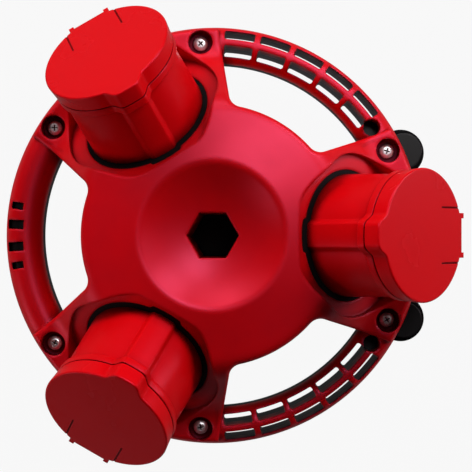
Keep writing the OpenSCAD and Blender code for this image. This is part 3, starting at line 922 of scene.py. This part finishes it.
@dataclass(frozen=True)
class Seat:
    """Frame of a socket: Z along its axis, X towards its hinge, origin at its base.

    reach, rise and tilt place it. base is the tube's radius, key the height and key_width
    the width of its nose. The opening in the shell is wider by the gap, and shifted towards
    the hub. flank is half the length of a nose's flank. The recess has a radius and a floor.
    hinge is the pin's X and Z, pin its radius, knuckle the radius of lug and ears, and lug
    half the width of the socket's lug.
    """

    reach: float = 94.3
    rise: float = 32.0
    tilt: float = math.radians(45)
    base: float = 42.4
    gap: float = 3.0
    shift: float = 2.6
    key: float = 2.4
    key_width: float = 18.0
    flank: float = 1.6
    recess: float = 56.5
    floor: float = 5.0
    screw_offset: float = 37.0
    screw_hole: float = 2.05
    hinge: tuple[float, float] = (46.1, 51.5)
    pin: float = 1.5
    knuckle: float = 2.8
    lug: float = 11.45

    def matrix(self) -> Array:
        """Transform from the socket's frame to lobe one, from the shells' joint."""
        return shift(self.reach, 0, self.rise) @ spin("y", self.tilt)

    def place(self, lobe: Lobe) -> Array:
        """Transform from the socket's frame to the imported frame, in millimetres."""
        return RAISE @ spin("z", lobe.turn) @ self.matrix()

    def pivot(self) -> Array:
        """Transform that lays a cylinder along the hinge pin."""
        return shift(self.hinge[0], 0, self.hinge[1]) @ spin("x", math.pi / 2)

    def opening(self, clearance: float = 0.0) -> Array:
        """Outline of the shell's opening, or of the collar that fills it.

        Args:
            clearance: Distance inside the opening's own outline.

        Returns:
            Array of shape (n, 2) in the socket's frame.
        """
        radius = self.base + self.gap - clearance
        outline = keyed(radius, radius + self.key, self.key_width + 4, self.flank)
        return outline - [self.shift, 0]

    def screw_holes(self, low: float, high: float) -> Surface:
        """Cutters for the four holes of the screws that hold the flange.

        Args:
            low: Height that the holes start at.
            high: Height that they end at.

        Returns:
            The cutters, in the socket's frame.
        """
        offsets = (-self.screw_offset, self.screw_offset)
        return copies(
            cylinder(self.screw_hole, low, high, 24),
            [shift(x, y, 0) for x in offsets for y in offsets],
        )


SEAT = Seat()


def keyed(radius: float, key: float, width: float, soft: float, inset: float = 0.0) -> Array:
    """Outline of a circle with a rounded key nose on its -X side.

    The radius is that of the circle plus the nose's height times a step. The step goes
    from 1 to 0 as 6 t^5 - 15 t^4 + 10 t^3 over an arc of twice the soft length.

    Args:
        radius: Radius of the circle.
        key: Distance of the nose from the axis.
        width: Width of the nose at the middle of its flanks.
        soft: Half the length of arc that a flank takes.
        inset: Distance inside the true outline.

    Returns:
        Array of shape (n, 2), anticlockwise.
    """
    middle = math.asin(width / (radius + key))
    start, stop = middle - soft / radius, middle + soft / radius
    half = np.concatenate([
        np.linspace(0, start, 8, endpoint=False),
        np.linspace(start, stop, 18, endpoint=False),
        np.linspace(stop, math.pi, 56, endpoint=False),
    ])
    t = np.clip((stop - half) / (stop - start), 0, 1)
    reach = radius - inset + (key - radius) * (6 * t**5 - 15 * t**4 + 10 * t**3)
    angles = np.concatenate([half, [math.pi], 2 * math.pi - half[:0:-1]])
    reach = np.concatenate([reach, [radius - inset], reach[:0:-1]])
    return -np.column_stack([reach * np.cos(angles), reach * np.sin(angles)])


@dataclass
class Housing:
    """Front and rear shells with their openings, seal groove and bosses.

    rows holds each row of windows: inner radius and height. The gland's neck, seat and bore
    are a radius, a distance from the hub axis and a length. slots holds each slot of the
    grip: its angle in degrees, its width and its length.
    """

    wall: float = 3.0
    depth: float = 42.0
    hub_height: float = 71.0
    dish: float = 48.0
    dish_depth: float = 16.0
    flange: float = 17.0
    hex_flats: float = 30.5
    screw_circle: float = 137.0
    screw_angle: float = math.radians(26)
    screw: float = 5.1
    sink: float = 17.2
    sink_depth: float = 8.0
    foot_circle: float = 150.5
    foot_angle: float = math.radians(24)
    foot: float = 17.2
    gland_z: float = -25.0
    gland_neck: tuple[float, float, float] = (16.5, 128.0, 22.0)
    gland_seat: tuple[float, float, float] = (12.45, 137.7, 40.0)
    gland_bore: tuple[float, float, float] = (9.0, 125.0, 60.0)
    boss: float = 5.5
    recess_rim: float = 9.0
    recess_low: float = 4.5
    grip: float = 141.0
    slots: tuple[tuple[float, float, float], ...] = ((3.2, 6.5, 11.5), (8.6, 5.0, 8.7))
    rows: tuple[tuple[float, float], ...] = ((139.6, 6.4), (127.8, 7.6))
    windows_in_row: int = 5
    window: float = 8.8
    window_start: float = 36.6
    window_step: float = 10.4
    window_round: float = 1.5
    stow: float = 6.0
    stow_circle: float = 135.8
    stow_angle: float = math.radians(34.4)
    sleeve: float = 6.0
    groove: float = 0.8
    groove_width: float = 1.4
    tube: Tube = field(default_factory=Tube)

    def crown(self) -> Array:
        """Section of the front face: the dish's arc, its rim, the cone and the flange.

        The dish is an arc of the sphere through its rim and its lowest point.

        Returns:
            The section, (radius, height), from the axis outwards.
        """
        ball = (self.dish**2 + self.dish_depth**2) / (2 * self.dish_depth)
        angles = np.arcsin(self.dish / ball) * np.arange(24) / 24
        bowl = np.column_stack(
            [ball * np.sin(angles), self.hub_height - self.dish_depth + ball * (1 - np.cos(angles))]
        )
        rim = profile([
            (float(bowl[-1, 0]), float(bowl[-1, 1]), 0),
            (self.dish, self.hub_height, 8),
            (90, self.hub_height - 6, 24),
            (126, self.flange, 18),
            (PLAN.ring + 5, self.flange, 0),
        ], 14)
        return np.vstack([bowl[:-1], rim])

    def front_form(self, base: float = 0.0) -> Shell:
        """Outside of the front shell above a base height.

        Args:
            base: Height that the closed shape starts at.

        Returns:
            The shell's shape.
        """
        spans = ((82, 74, -1.6), (74, 53, -3.0), (53, 43, -0.75), (43, 12, -2.6))
        radii = np.concatenate([np.arange(*span) for span in spans])
        return Shell(PLAN, self.crown(), base, 2.8, 4.0, radii, 30)

    def rear_form(self, base: float = 0.0) -> Shell:
        """Outside of the rear shell below a base height.

        Args:
            base: Height that the closed shape ends at.

        Returns:
            The shell's shape.
        """
        face = profile(
            [(0, -self.depth, 0), (112, -self.depth, 10), (150, -9, 4), (150.01, 0, 0)], 12
        )
        face = face[face[:, 0] <= 149.99]
        face = np.vstack([face, [[156.0, face[-1, 1]]]])
        radii = np.array([82.0, 60.0, 40.0, 24.0, 12.0])
        return Shell(PLAN, face, base, 2.0, 0.0, radii, 22)

    def recess(self, side: float = 0.0, floor: float = 0.0) -> Solid:
        """Space round a socket that its recess clears, grown by a wall and a floor.

        Args:
            side: Wall that is added round it.
            floor: Thickness that is added below it.

        Returns:
            The space at lobe one.
        """
        bore = cylinder(SEAT.recess + side, -floor, 200, 160).moved(SEAT.matrix())
        low = -self.recess_low - side
        limit = cylinder(PLAN.ring - self.recess_rim + side, low, 300, 200)
        return Solid("recess", bore).keep(limit)

    def windows(self) -> Surface:
        """All lattice windows of the two arcs, as cutters: ring sectors with round corners.

        Returns:
            The cutters.
        """
        shapes = []
        width, rounding = math.radians(self.window), self.window_round
        for inner, high in self.rows:
            corners = []
            for radius, angle, way in (
                (inner, 0, (1, 1)), (inner + high, 0, (-1, 1)),
                (inner + high, width, (-1, -1)), (inner, width, (1, -1)),
            ):
                middle_r = radius + way[0] * rounding
                a = angle + way[1] * math.asin(rounding / middle_r)
                middle = (middle_r * math.cos(a), middle_r * math.sin(a))
                radial = a + (math.pi if way[0] > 0 else 0)
                sideways = angle - way[1] * math.pi / 2
                start, stop = (radial, sideways) if way[0] == way[1] else (sideways, radial)
                # The last point falls a little short of the next side, so none repeats.
                sweep = ((stop - start + math.pi) % (2 * math.pi) - math.pi) * 1.0001
                corners.append(arc(middle, rounding, start, start + sweep, 6))
            first, second, third, fourth = corners
            upper = np.linspace(angle_of(second[-1]), angle_of(third[0]), 10)[1:-1]
            lower = np.linspace(angle_of(fourth[-1]), angle_of(first[0]), 10)[1:-1]
            above, below = (
                radius * np.stack([np.cos(a), np.sin(a)], -1)
                for radius, a in ((inner + high, upper), (inner, lower))
            )
            plan = np.concatenate([first, second, above, third, fourth, below])
            for i in range(self.windows_in_row):
                start = math.radians(self.window_start + self.window_step * i)
                one = prism(turned(plan, start), -30, 30)
                shapes += [one, Surface(one.points * [1, -1, 1], one.quads, one.tris).outward()]
        return shapes[0].joined(*shapes[1:])

    def grip_slots(self, grow: float, low: float, high: float) -> Surface:
        """The four slots across the grip, grown on all sides.

        Args:
            grow: Distance that each side is moved out.
            low: Height that the slots start at.
            high: Height that they end at.

        Returns:
            The boxes.
        """
        boxes = []
        for side in (1, -1):
            for angle, width, length in self.slots:
                one = block(
                    (self.grip - length / 2 - grow, -width / 2 - grow, low),
                    (self.grip + length / 2 + grow, width / 2 + grow, high),
                )
                boxes.append(one.moved(spin("z", math.pi + side * math.radians(angle))))
        return boxes[0].joined(*boxes[1:])

    def hexagon(self, flats: float, low: float, high: float) -> Surface:
        """A hexagonal bar along the hub axis, with corners on the X axis."""
        return cylinder(flats / math.sqrt(3), low, high, 6)

    def gland(self, radius: float, start: float, length: float) -> Surface:
        """A cylinder along lobe one, on the axis of the cable gland."""
        turn = spin("y", math.pi / 2)
        return cylinder(radius, 0, length).moved(shift(start, 0, self.gland_z) @ turn)

    def filled(self, form: Shell, side: int) -> Solid:
        """A shell as a filled body, with its half of the ring."""
        return Solid("whole", form.surface()).add(self.tube.half(side))

    def screw_frames(self) -> list[Array]:
        """Places of the six housing screws.

        Returns:
            A transform for each screw, from the shells' joint.
        """
        return [
            spin("z", lobe.turn + side * self.screw_angle) @ shift(self.screw_circle, 0, 0)
            for lobe in LOBES
            for side in (-1, 1)
        ]

    def at_screws(self, surface: Surface) -> Surface:
        """Copies of a surface at the six housing screws."""
        return copies(surface, self.screw_frames())

    def at_feet(self, surface: Surface) -> Surface:
        """Copies of a surface at the two rubber feet."""
        return self.at_sides(surface, self.foot_angle, self.foot_circle)

    def at_sides(self, surface: Surface, angle: float, radius: float) -> Surface:
        """Copies of a surface on both sides of lobe one, by an angle and a radius.

        Args:
            surface: The surface, at the hub axis.
            angle: Angle to each side, radians.
            radius: Distance from the hub axis.

        Returns:
            The two copies.
        """
        return copies(
            surface, [spin("z", side * angle) @ shift(radius, 0, 0) for side in (-1, 1)]
        )

    def front_shell(self) -> Object:
        """Build the front shell.

        Returns:
            The piece.
        """
        form = self.front_form()
        shell = self.filled(form, 1)
        shell.cut(self.front_form(-1.0).surface(self.wall, self.wall), self.tube.hollow(1))
        below = Solid("below", prism(PLAN.outline(self.wall + 0.3), -60, 0.01))
        below.add(self.filled(form, 1))
        cups = self.recess(self.wall, SEAT.floor)
        walls = Solid("walls", read_back(cups))
        for lobe in LOBES[1:]:
            walls.add(read_back(cups).moved(spin("z", lobe.turn)))
        cups.discard()
        walls.keep(below)
        bosses = Solid("bosses", self.at_screws(cylinder(self.sink / 2 + self.wall, 0, 60)))
        bosses.keep(self.filled(form, 1))
        sleeve = self.hexagon(self.hex_flats + self.sleeve, self.wall + 0.3 - self.depth, 56)
        shell.add(walls, bosses, sleeve)
        space = self.recess()
        opening = prism(SEAT.opening(), -10, 6).moved(SEAT.matrix())
        for lobe in LOBES:
            turn = spin("z", lobe.turn)
            shell.cut(read_back(space).moved(turn), opening.moved(turn))
        space.discard()
        holes = SEAT.screw_holes(-SEAT.floor - 0.01, -1.0).moved(SEAT.matrix())
        shell.cut(
            copies(holes, [spin("z", lobe.turn) for lobe in LOBES]),
            self.at_screws(cylinder(self.screw / 2, -1, 100, 32)),
            self.at_screws(cylinder(self.sink / 2, self.flange - self.sink_depth, 100, 72)),
            self.hexagon(self.hex_flats, -60, 200),
            self.windows(),
            self.grip_slots(0, 0, 30),
            self.at_sides(cylinder(self.stow, -1, 100, 48), self.stow_angle, self.stow_circle),
        )
        return self.mounted(shell, "front_shell_moulding", RED_SHELL, "front_shell")

    def rear_shell(self) -> Object:
        """Build the rear shell.

        Returns:
            The piece.
        """
        form = self.rear_form()
        shell = self.filled(form, -1)
        cavity = Solid("cavity", self.rear_form(1.0).surface(self.wall, self.wall))
        cavity.cut(self.at_feet(cylinder(self.foot + 3.3, -100, -11)))
        shell.cut(cavity, self.tube.hollow(-1))
        bosses = Solid("bosses", self.at_screws(cylinder(self.boss, -14, -0.005, 40)))
        bosses.keep(self.filled(form, -1))
        floor = self.wall - self.depth
        shell.add(
            bosses,
            self.at_feet(cylinder(self.foot - 4, -14, -2)),
            self.gland(*self.gland_neck),
            self.hexagon(self.hex_flats + 12, floor, floor + 12),
        )
        groove = Solid("groove", prism(PLAN.outline(self.groove), -1, 5)).cut(
            prism(PLAN.outline(self.groove + self.groove_width), -2, 6)
        )
        shell.cut(
            self.hexagon(self.hex_flats + self.sleeve + 0.6, floor, 60),
            self.at_screws(cylinder(self.screw / 2, -11, 20, 32)),
            self.at_feet(cylinder(self.foot + 0.3, -100, -14, 72)),
            self.at_feet(cylinder(3.05, -15, -4, 32)),
            self.gland(*self.gland_seat),
            self.gland(*self.gland_bore),
            groove,
            self.windows(),
        )
        section = self.tube.section(1, 2.2)
        lower = self.tube.section(-1, 2.2)[::-1]
        oval = revolve(np.vstack([section, lower[1:-1]]), 300, closed=True)
        shell.add(Solid("tabs", self.grip_slots(-0.3, -30, 30)).keep(oval))
        return self.mounted(shell, "rear_shell_moulding", BLACK_SHELL, "rear_shell")

    def screws(self) -> Object:
        """Build the six housing screws, each turned to its own stop.

        Returns:
            The piece.
        """
        seat = self.flange - self.sink_depth
        one = PanScrew(5.0, seat + 10.5).surface()
        shape = read_back(one)
        one.discard()
        stops = [0.4 + 1.3 * lobe.value + 0.7 * side for lobe in LOBES for side in (-1, 1)]
        solid = Solid("screws", copies(
            shape,
            [
                spot @ shift(0, 0, seat) @ spin("z", stop)
                for spot, stop in zip(self.screw_frames(), stops)
            ],
        ))
        return self.mounted(solid, "housing_screw_set", STEEL, "housing_screws")

    def mounted(self, solid: Solid, name: str, finish: Finish, node: str) -> Object:
        """Raise a solid from the shells' joint to its place and mount it on the housing."""
        place(solid, RAISE)
        return solid.finish(name, finish, Body.HOUSING.value, [node])


# ---- Sockets and lids ----


@dataclass
class Socket:
    """A five-pole socket tube with its key rib, mouth band and hinge lug."""

    lobe: Lobe
    tail: float = -11.0
    length: float = 50.0
    draft: float = 2.0
    band: float = 42.6
    fillet: float = 2.4
    bore: float = 36.8
    lip: float = 38.8
    keyway: tuple[float, float] = (38.4, 6.0)
    flange: float = 50.0

    def tube(self) -> Surface:
        """Outside of the tube: keyed outlines carried from its tail to its mouth.

        The radius falls in proportion to the height, and a fillet that follows a
        quarter circle leads to the wider band under the mouth. Each station is a height,
        the radius, the key's distance from the axis and its width.

        Returns:
            The surface, closed at both ends.
        """
        base, key, width = SEAT.base, SEAT.base + SEAT.key, SEAT.key_width
        stations = [(self.tail, base, key, width), (0.0, base, key, width)]
        for z in np.linspace(2, self.band, 12):
            drop = self.draft * z / self.length
            stations.append((float(z), base - drop, key - drop, width))
        slim = base - self.draft * self.band / self.length
        for a in np.arange(1, 7) / 6 * math.pi / 2:
            z, grow = self.band + self.fillet * math.sin(a), 1 - math.cos(a)
            radius = slim + (43.0 - slim) * grow
            nose = slim + SEAT.key + (47.4 - slim) * grow
            stations.append((z, radius, nose, width + 3 * grow))
        stations += [
            (45.3, 43.15, 49.95, 21.0), (49.4, 43.15, 49.95, 21.0), (49.85, 42.9, 49.7, 20.7),
            (self.length, 42.5, 49.3, 20.2),
        ]
        rings = []
        for z, radius, key, width in stations:
            # The flanks are softer where the nose stands out more.
            soft = 2.6 + 2.6 * min(1, (key - radius - SEAT.key) / 4.4)
            rings.append(at_height(keyed(radius, key, width, soft), z))
        return loft(np.stack(rings))

    def lug(self) -> Solid:
        """Knuckle and arm that carry the hinge pin between the lid's ears.

        Returns:
            The solid, in the socket's frame.
        """
        half, (x, z), knuckle = SEAT.lug, SEAT.hinge, SEAT.knuckle
        return Solid("lug", cylinder(knuckle, -half, half, 40).moved(SEAT.pivot())).add(
            block((37.8, -half, 45), (x, half, self.length)),
            block((x - 1, -half, 45.02), (x + knuckle, half, z)),
        )

    def build(self) -> Object:
        """Build the socket.

        Returns:
            The piece.
        """
        name = f"socket_body_{self.lobe.value}"
        body = Solid(name, self.tube())
        half, (x, z), knuckle = self.flange, SEAT.hinge, SEAT.knuckle
        flange = Solid("flange", cylinder(57, self.tail, -7, 120)).keep(
            block((-half, -half, -12), (half, half, 0))
        )
        tail, rim = cylinder(SEAT.base, -28, -5, 96), cylinder(self.lip, 0, 53.5, 96)
        body.add(tail, flange, rim, self.lug())
        depth, side = self.keyway
        body.cut(
            cylinder(self.bore, -24, 100, 96),
            block((-depth, -side, -24), (0, side, 100)),
            cylinder(self.bore - 3, -60, 10, 96),
            cylinder(SEAT.pin, -60, 60, 32).moved(SEAT.pivot()),
            block((x - knuckle - 0.3, -5.5, z - knuckle), (90, 5.5, 90)),
            SEAT.screw_holes(-60, -5),
        )
        place(body, SEAT.place(self.lobe))
        return body.finish(
            f"socket_moulding_{self.lobe.value}", RED_SOCKET, Body.HOUSING.value, [name]
        )


@dataclass
class Lid:
    """A hinged lid: a keyed cap with a rounded edge, two ears and face grooves."""

    lobe: Lobe
    radius: float = 43.75
    nose: float = 50.48
    nose_width: float = 21.0
    flank: float = 5.6
    base: float = 50.3
    top: float = 62.0
    wall: float = 2.6
    face: float = 2.8
    taper: float = 0.8
    edge: float = 1.2
    chord: float = 40.8
    step: float = 2.2
    ear: float = 13.45
    ear_half: float = 1.8
    groove: float = 18.5
    groove_half: float = 0.55

    def rings(self, stations: Iterable[tuple[float, float]]) -> Array:
        """Keyed outlines at each (inset, height).

        Args:
            stations: The inset and height of each outline.

        Returns:
            Array of shape (rings, points, 3).
        """
        return np.stack([
            at_height(keyed(self.radius, self.nose, self.nose_width, self.flank, inset), z)
            for inset, z in stations
        ])

    def cap(self) -> Surface:
        """Outside of the cap: a tapered rim, a quarter-circle edge and a flat face.

        Returns:
            The surface, closed at both ends.
        """
        foot = 0.35
        stations = [(self.taper + foot, self.base), (self.taper, self.base + foot)]
        stations += [
            (self.edge * (1 - math.cos(a)), self.top - self.edge * (1 - math.sin(a)))
            for a in np.linspace(0, math.pi / 2, 9)
        ]
        rings = self.rings(stations)
        inner = rings[-1] * [1, 1, 0]
        face = [inner * share + [0, 0, self.top] for share in (0.9, 0.7, 0.45, 0.2)]
        return loft(np.concatenate([rings, np.stack(face)]))

    def build(self) -> Object:
        """Build the lid.

        The top stands back at the hinge side by a step, with a shelf between the ears.

        Returns:
            The piece.
        """
        body = Solid("lid", self.cap())
        inside = self.taper + self.wall
        body.cut(loft(self.rings([(inside, self.base - 1), (inside, self.top - self.face)])))
        pivot, (x, z), shelf = SEAT.pivot(), SEAT.hinge, self.top - self.step
        half = self.ear_half
        for middle in (-self.ear, self.ear):
            knuckle = cylinder(SEAT.knuckle, -half, half, 40).moved(shift(0, middle, 0) @ pivot)
            body.add(Solid("ear", knuckle).add(block(
                (self.radius - 2, middle - half, z), (x + SEAT.knuckle, middle + half, 60.2)
            )))
        body.cut(block((self.chord, -15.9, shelf), (60, 15.9, 70)))
        body.add(block((self.chord - 1, -11.7, 58.2), (46.3, 11.7, shelf)))
        body.cut(
            cylinder(SEAT.pin + 0.05, -60, 60, 32).moved(pivot),
            cylinder(SEAT.knuckle + 0.3, -11.75, 11.75, 48).moved(pivot),
        )
        half = self.groove_half
        for side in (-self.groove, self.groove):
            low = (self.radius - 25, side - half, self.top - 0.9)
            body.cut(block(low, (60, side + half, 70)))
        place(body, SEAT.place(self.lobe))
        number = self.lobe.value
        return body.finish(
            f"lid_moulding_{number}", RED_LID, self.lobe.lid_body, [f"lid_{number}"]
        )


@dataclass
class Gasket:
    """The flat gasket under a socket's flange, with a flush collar round the tube."""

    lobe: Lobe
    radius: float = 49.0
    clearance: float = 0.05

    def build(self) -> Object:
        """Build the gasket.

        Returns:
            The piece.
        """
        solid = Solid("gasket", cylinder(self.radius, -7, -5, 160))
        solid.add(prism(SEAT.opening(self.clearance), -6, -0.4))
        bore = SEAT.base + self.clearance
        solid.cut(prism(keyed(bore, bore + SEAT.key, SEAT.key_width, 1.4), -20, 20))
        place(solid, SEAT.place(self.lobe))
        number = self.lobe.value
        return solid.finish(
            f"gasket_moulding_{number}", SEAL, Body.HOUSING.value, [f"socket_gasket_{number}"]
        )


@dataclass
class PanScrew:
    """A pan-head screw with a cross recess; its head stands on z = 0."""

    size: float
    length: float

    def surface(self) -> Solid:
        """Build the screw.

        The head is a low dome on a short straight rim, in shares of the thread's size. The
        recess is two crossed wedges that narrow towards the tip of the screwdriver.

        Returns:
            The solid.
        """
        head, high, shank = self.size * 1.05, self.size * 0.62, self.size / 2
        section = profile([
            (0.01, high, 0), (head * 0.55, high * 0.97, head * 0.4),
            (head, high * 0.52, head * 0.28), (head, 0, 0.2), (shank, 0, 0.2),
            (shank, -self.length + 0.6, 0), (shank - 0.6, -self.length, 0),
            (0.01, -self.length, 0),
        ], 6)
        solid = Solid("screw", revolve(section, 48))
        wide, slim = self.size * 0.52, self.size * 0.1
        plan = np.array([[-1, -1], [1, -1], [1, 1], [-1, 1]])
        slot = loft(np.stack([
            at_height(plan * [wide * k, slim * (0.6 + 0.4 * k)], z)
            for k, z in ((0.35, high * 0.1), (1.0, high * 1.2))
        ]))
        return solid.cut(slot, slot.moved(spin("z", math.pi / 2)))


# ---- Feet ----


@dataclass
class Foot:
    """A rubber foot: a disc with rounded edges, a moulded groove and a screw well."""

    side: str
    angle: float
    radius: float
    circle: float
    height: float = 28.0
    bore: float = 3.05
    well: float = 7.0
    groove: float = 0.7

    def build(self) -> Object:
        """Build the foot from its closed section.

        Returns:
            The piece.
        """
        outer, inner = self.radius, self.radius - self.groove
        section = profile([
            (self.bore, 22, 0), (self.bore, self.height, 0), (outer, self.height, 2.0),
            (outer, 20.2, 0.4), (inner, 19.6, 0.4), (inner, 18.4, 0.4), (outer, 17.8, 0.4),
            (outer, 0, 3.0), (self.well, 0, 0.8), (self.well, 22, 0),
        ], 6)
        solid = Solid("foot", revolve(section, 120, closed=True))
        place(solid, spin("z", self.angle) @ shift(self.circle, 0, 0))
        return solid.finish(
            f"foot_moulding_{self.side}", FOOT, Body.HOUSING.value, [f"bumper_{self.side}"]
        )


# ---- Studio ----


@dataclass(frozen=True)
class Lamp:
    """A soft rectangular lamp that faces the object: place and size in metres, power in W.

    It shows in reflections only where shine is True, and never in them where it is False.
    """

    name: str
    place: tuple[float, float, float]
    size: tuple[float, float]
    power: float
    colour: str = "#ffffff"
    shine: bool | None = None
    aim: tuple[float, float, float] = (0, 0, 0.06)

    def hang(self) -> None:
        """Put the lamp into the scene."""
        data = bpy.data.lights.new(self.name, "AREA")
        data.shape, (data.size, data.size_y) = "RECTANGLE", self.size
        data.energy = self.power
        data.color = linear(self.colour)[:3]
        thing = bpy.data.objects.new(self.name, data)
        thing.location = self.place
        way = Vector(self.aim) - Vector(self.place)
        thing.rotation_euler = way.to_track_quat("-Z", "Y").to_euler()
        thing.visible_diffuse = self.shine is not True
        thing.visible_glossy = self.shine is not False
        bpy.context.scene.collection.objects.link(thing)


LAMPS = (
    Lamp("key", (-0.78, 1.28, 0.62), (1.1, 0.7), 20.0, shine=False),
    Lamp("upper_right", (0.72, 0.86, 0.8), (0.5, 0.4), 9.0, "#ffeef4"),
    Lamp("overhead", (0.31, 0.60, 1.35), (0.5, 0.4), 11.5, shine=True),
    Lamp("far_side", (-0.22, 1.2, 0.84), (0.9, 0.4), 6.0, shine=True),
    Lamp("right_edge", (1.4, 0.35, 0.3), (0.4, 0.8), 8.0, "#ffe4ee"),
    Lamp("lower_left", (-1.3, -0.8, 0.55), (0.8, 0.8), 6.0, "#ffd8d8"),
)


@dataclass
class Studio:
    """A pale floor, soft lamps and the camera above the hub. Lengths are in metres.

    mirrored is the share of the white floor that reflections show, and panel_way the
    direction of the white panel that they show above the far side.
    """

    eye: tuple[float, float, float] = (0.0156, -0.0004, 0.742)
    lens: float = 73.7
    floor_size: float = 6.0
    floor_colour: str = "#747478"
    floor_white: float = 0.93
    mirrored: float = 0.12
    panel_way: tuple[float, float, float] = (0.3, 0.95, 0.0)
    sky: str = "#f2f4f8"
    sky_strength: float = 0.02

    def camera(self) -> None:
        """Place the camera, looking straight down with +Y up."""
        data = bpy.data.cameras.new("camera")
        data.lens, data.sensor_width = self.lens, 36.0
        data.clip_start, data.clip_end = 0.01, 20.0
        thing = bpy.data.objects.new("camera", data)
        thing.location = self.eye
        bpy.context.scene.collection.objects.link(thing)
        bpy.context.scene.camera = thing

    def floor(self) -> None:
        """Lay the floor: pale, nearly white to the eye, and it keeps a faint shadow."""
        size = self.floor_size
        mesh = bpy.data.meshes.new("floor")
        mesh.from_pydata(
            [(-size, -size, 0), (size, -size, 0), (size, size, 0), (-size, size, 0)],
            [], [(0, 1, 2, 3)],
        )
        thing = bpy.data.objects.new("floor", mesh)
        thing.location.z = -0.0005
        bpy.context.scene.collection.objects.link(thing)
        made = bpy.data.materials.new("painted_board_white")
        made.use_nodes = True
        tree = made.node_tree
        tree.nodes.clear()
        colour = linear(self.floor_colour)
        board = add(
            tree, "ShaderNodeBsdfDiffuse", {"Color": colour, "Roughness": 0.5}
        ).outputs["BSDF"]
        glow = add(
            tree, "ShaderNodeEmission", {"Color": linear("#ffffff"), "Strength": 1.0}
        ).outputs["Emission"]
        share = add(tree, "ShaderNodeMath", {
            0: self.seen(tree, self.mirrored), 1: self.floor_white,
        }, operation="MULTIPLY").outputs["Value"]
        mixed = add(tree, "ShaderNodeMixShader", {0: share, 1: board, 2: glow}).outputs[0]
        add(tree, "ShaderNodeOutputMaterial", {"Surface": mixed})
        mesh.materials.append(made)

    def seen(self, tree: NodeTree, glossy: float | NodeSocket) -> NodeSocket:
        """Share of the white backdrop in a ray: all for the camera, some for reflections.

        Args:
            tree: The node tree.
            glossy: The share that reflections see, from 0 to 1.

        Returns:
            The output that carries the share.
        """
        rays = add(tree, "ShaderNodeLightPath").outputs
        shown = add(tree, "ShaderNodeMath", {
            0: rays["Is Camera Ray"], 1: rays["Is Transmission Ray"],
        }, operation="MAXIMUM").outputs["Value"]
        mirrored = add(
            tree, "ShaderNodeMath", {0: rays["Is Glossy Ray"], 1: glossy}, operation="MULTIPLY"
        ).outputs["Value"]
        return add(
            tree, "ShaderNodeMath", {0: shown, 1: mirrored}, operation="MAXIMUM"
        ).outputs["Value"]

    def world(self) -> None:
        """Set a soft grey surrounding that the camera sees as white.

        Reflections show a white panel above the far side, from about 15 to 70 degrees up.
        """
        world = bpy.data.worlds.new("studio")
        bpy.context.scene.world = world
        world.use_nodes = True
        tree = world.node_tree
        tree.nodes.clear()
        way = add(tree, "ShaderNodeTexCoord").outputs["Generated"]
        height = add(tree, "ShaderNodeSeparateXYZ", {"Vector": way}).outputs["Z"]
        toward = add(
            tree, "ShaderNodeVectorMath", {0: way, 1: self.panel_way}, operation="DOT_PRODUCT"
        ).outputs["Value"]
        panel: float | NodeSocket = 1.0
        for value, start, stop in ((toward, 0.0, 0.5), (height, 0.25, 0.5), (height, 0.98, 0.93)):
            share = add(
                tree, "ShaderNodeMapRange", {"Value": value, "From Min": start, "From Max": stop}
            ).outputs["Result"]
            panel = add(
                tree, "ShaderNodeMath", {0: panel, 1: share}, operation="MULTIPLY"
            ).outputs["Value"]
        soft, white = (
            add(
                tree, "ShaderNodeBackground", {"Color": linear(colour), "Strength": strength}
            ).outputs[0]
            for colour, strength in ((self.sky, self.sky_strength), ("#ffffff", 1.0))
        )
        mixed = add(
            tree, "ShaderNodeMixShader", {0: self.seen(tree, panel), 1: soft, 2: white}
        ).outputs[0]
        add(tree, "ShaderNodeOutputWorld", {"Surface": mixed})

    def build(self) -> None:
        """Build the camera, the floor, the surroundings and the lamps."""
        self.camera()
        self.floor()
        self.world()
        for lamp in LAMPS:
            lamp.hang()
        bpy.context.scene.view_settings.view_transform = "Standard"


CAD_FINISHES: dict[str, Finish] = {
    finish.slot: finish
    for finish in (
        RED_SHELL, RED_SOCKET, RED_LID, BLACK_SHELL, GLAND, CARRIER, BLOCK, SEAL, FOOT, STEEL,
        SPRING, BRASS,
    )
}


def dress_frame() -> None:
    """Give each CAD node that stays the finish of its slot in the record."""
    slots = {part["node"]: part["material_slot"] for part in frame["record"]["subparts"]}
    for name, thing in frame["nodes"].items():
        CAD_FINISHES[slots[name]].dress(thing)


def main() -> None:
    """Build every sub-assembly in order."""
    logging.basicConfig(level=logging.INFO, format="%(name)s: %(message)s")
    Studio().build()
    dress_frame()
    housing = Housing()
    housing.front_shell()
    housing.rear_shell()
    housing.screws()
    for lobe in LOBES:
        Socket(lobe).build()
        Gasket(lobe).build()
        Lid(lobe).build()
    for side, way in (("left", 1), ("right", -1)):
        Foot(side, way * housing.foot_angle, housing.foot, housing.foot_circle).build()


if __name__ == "__main__":
    main()
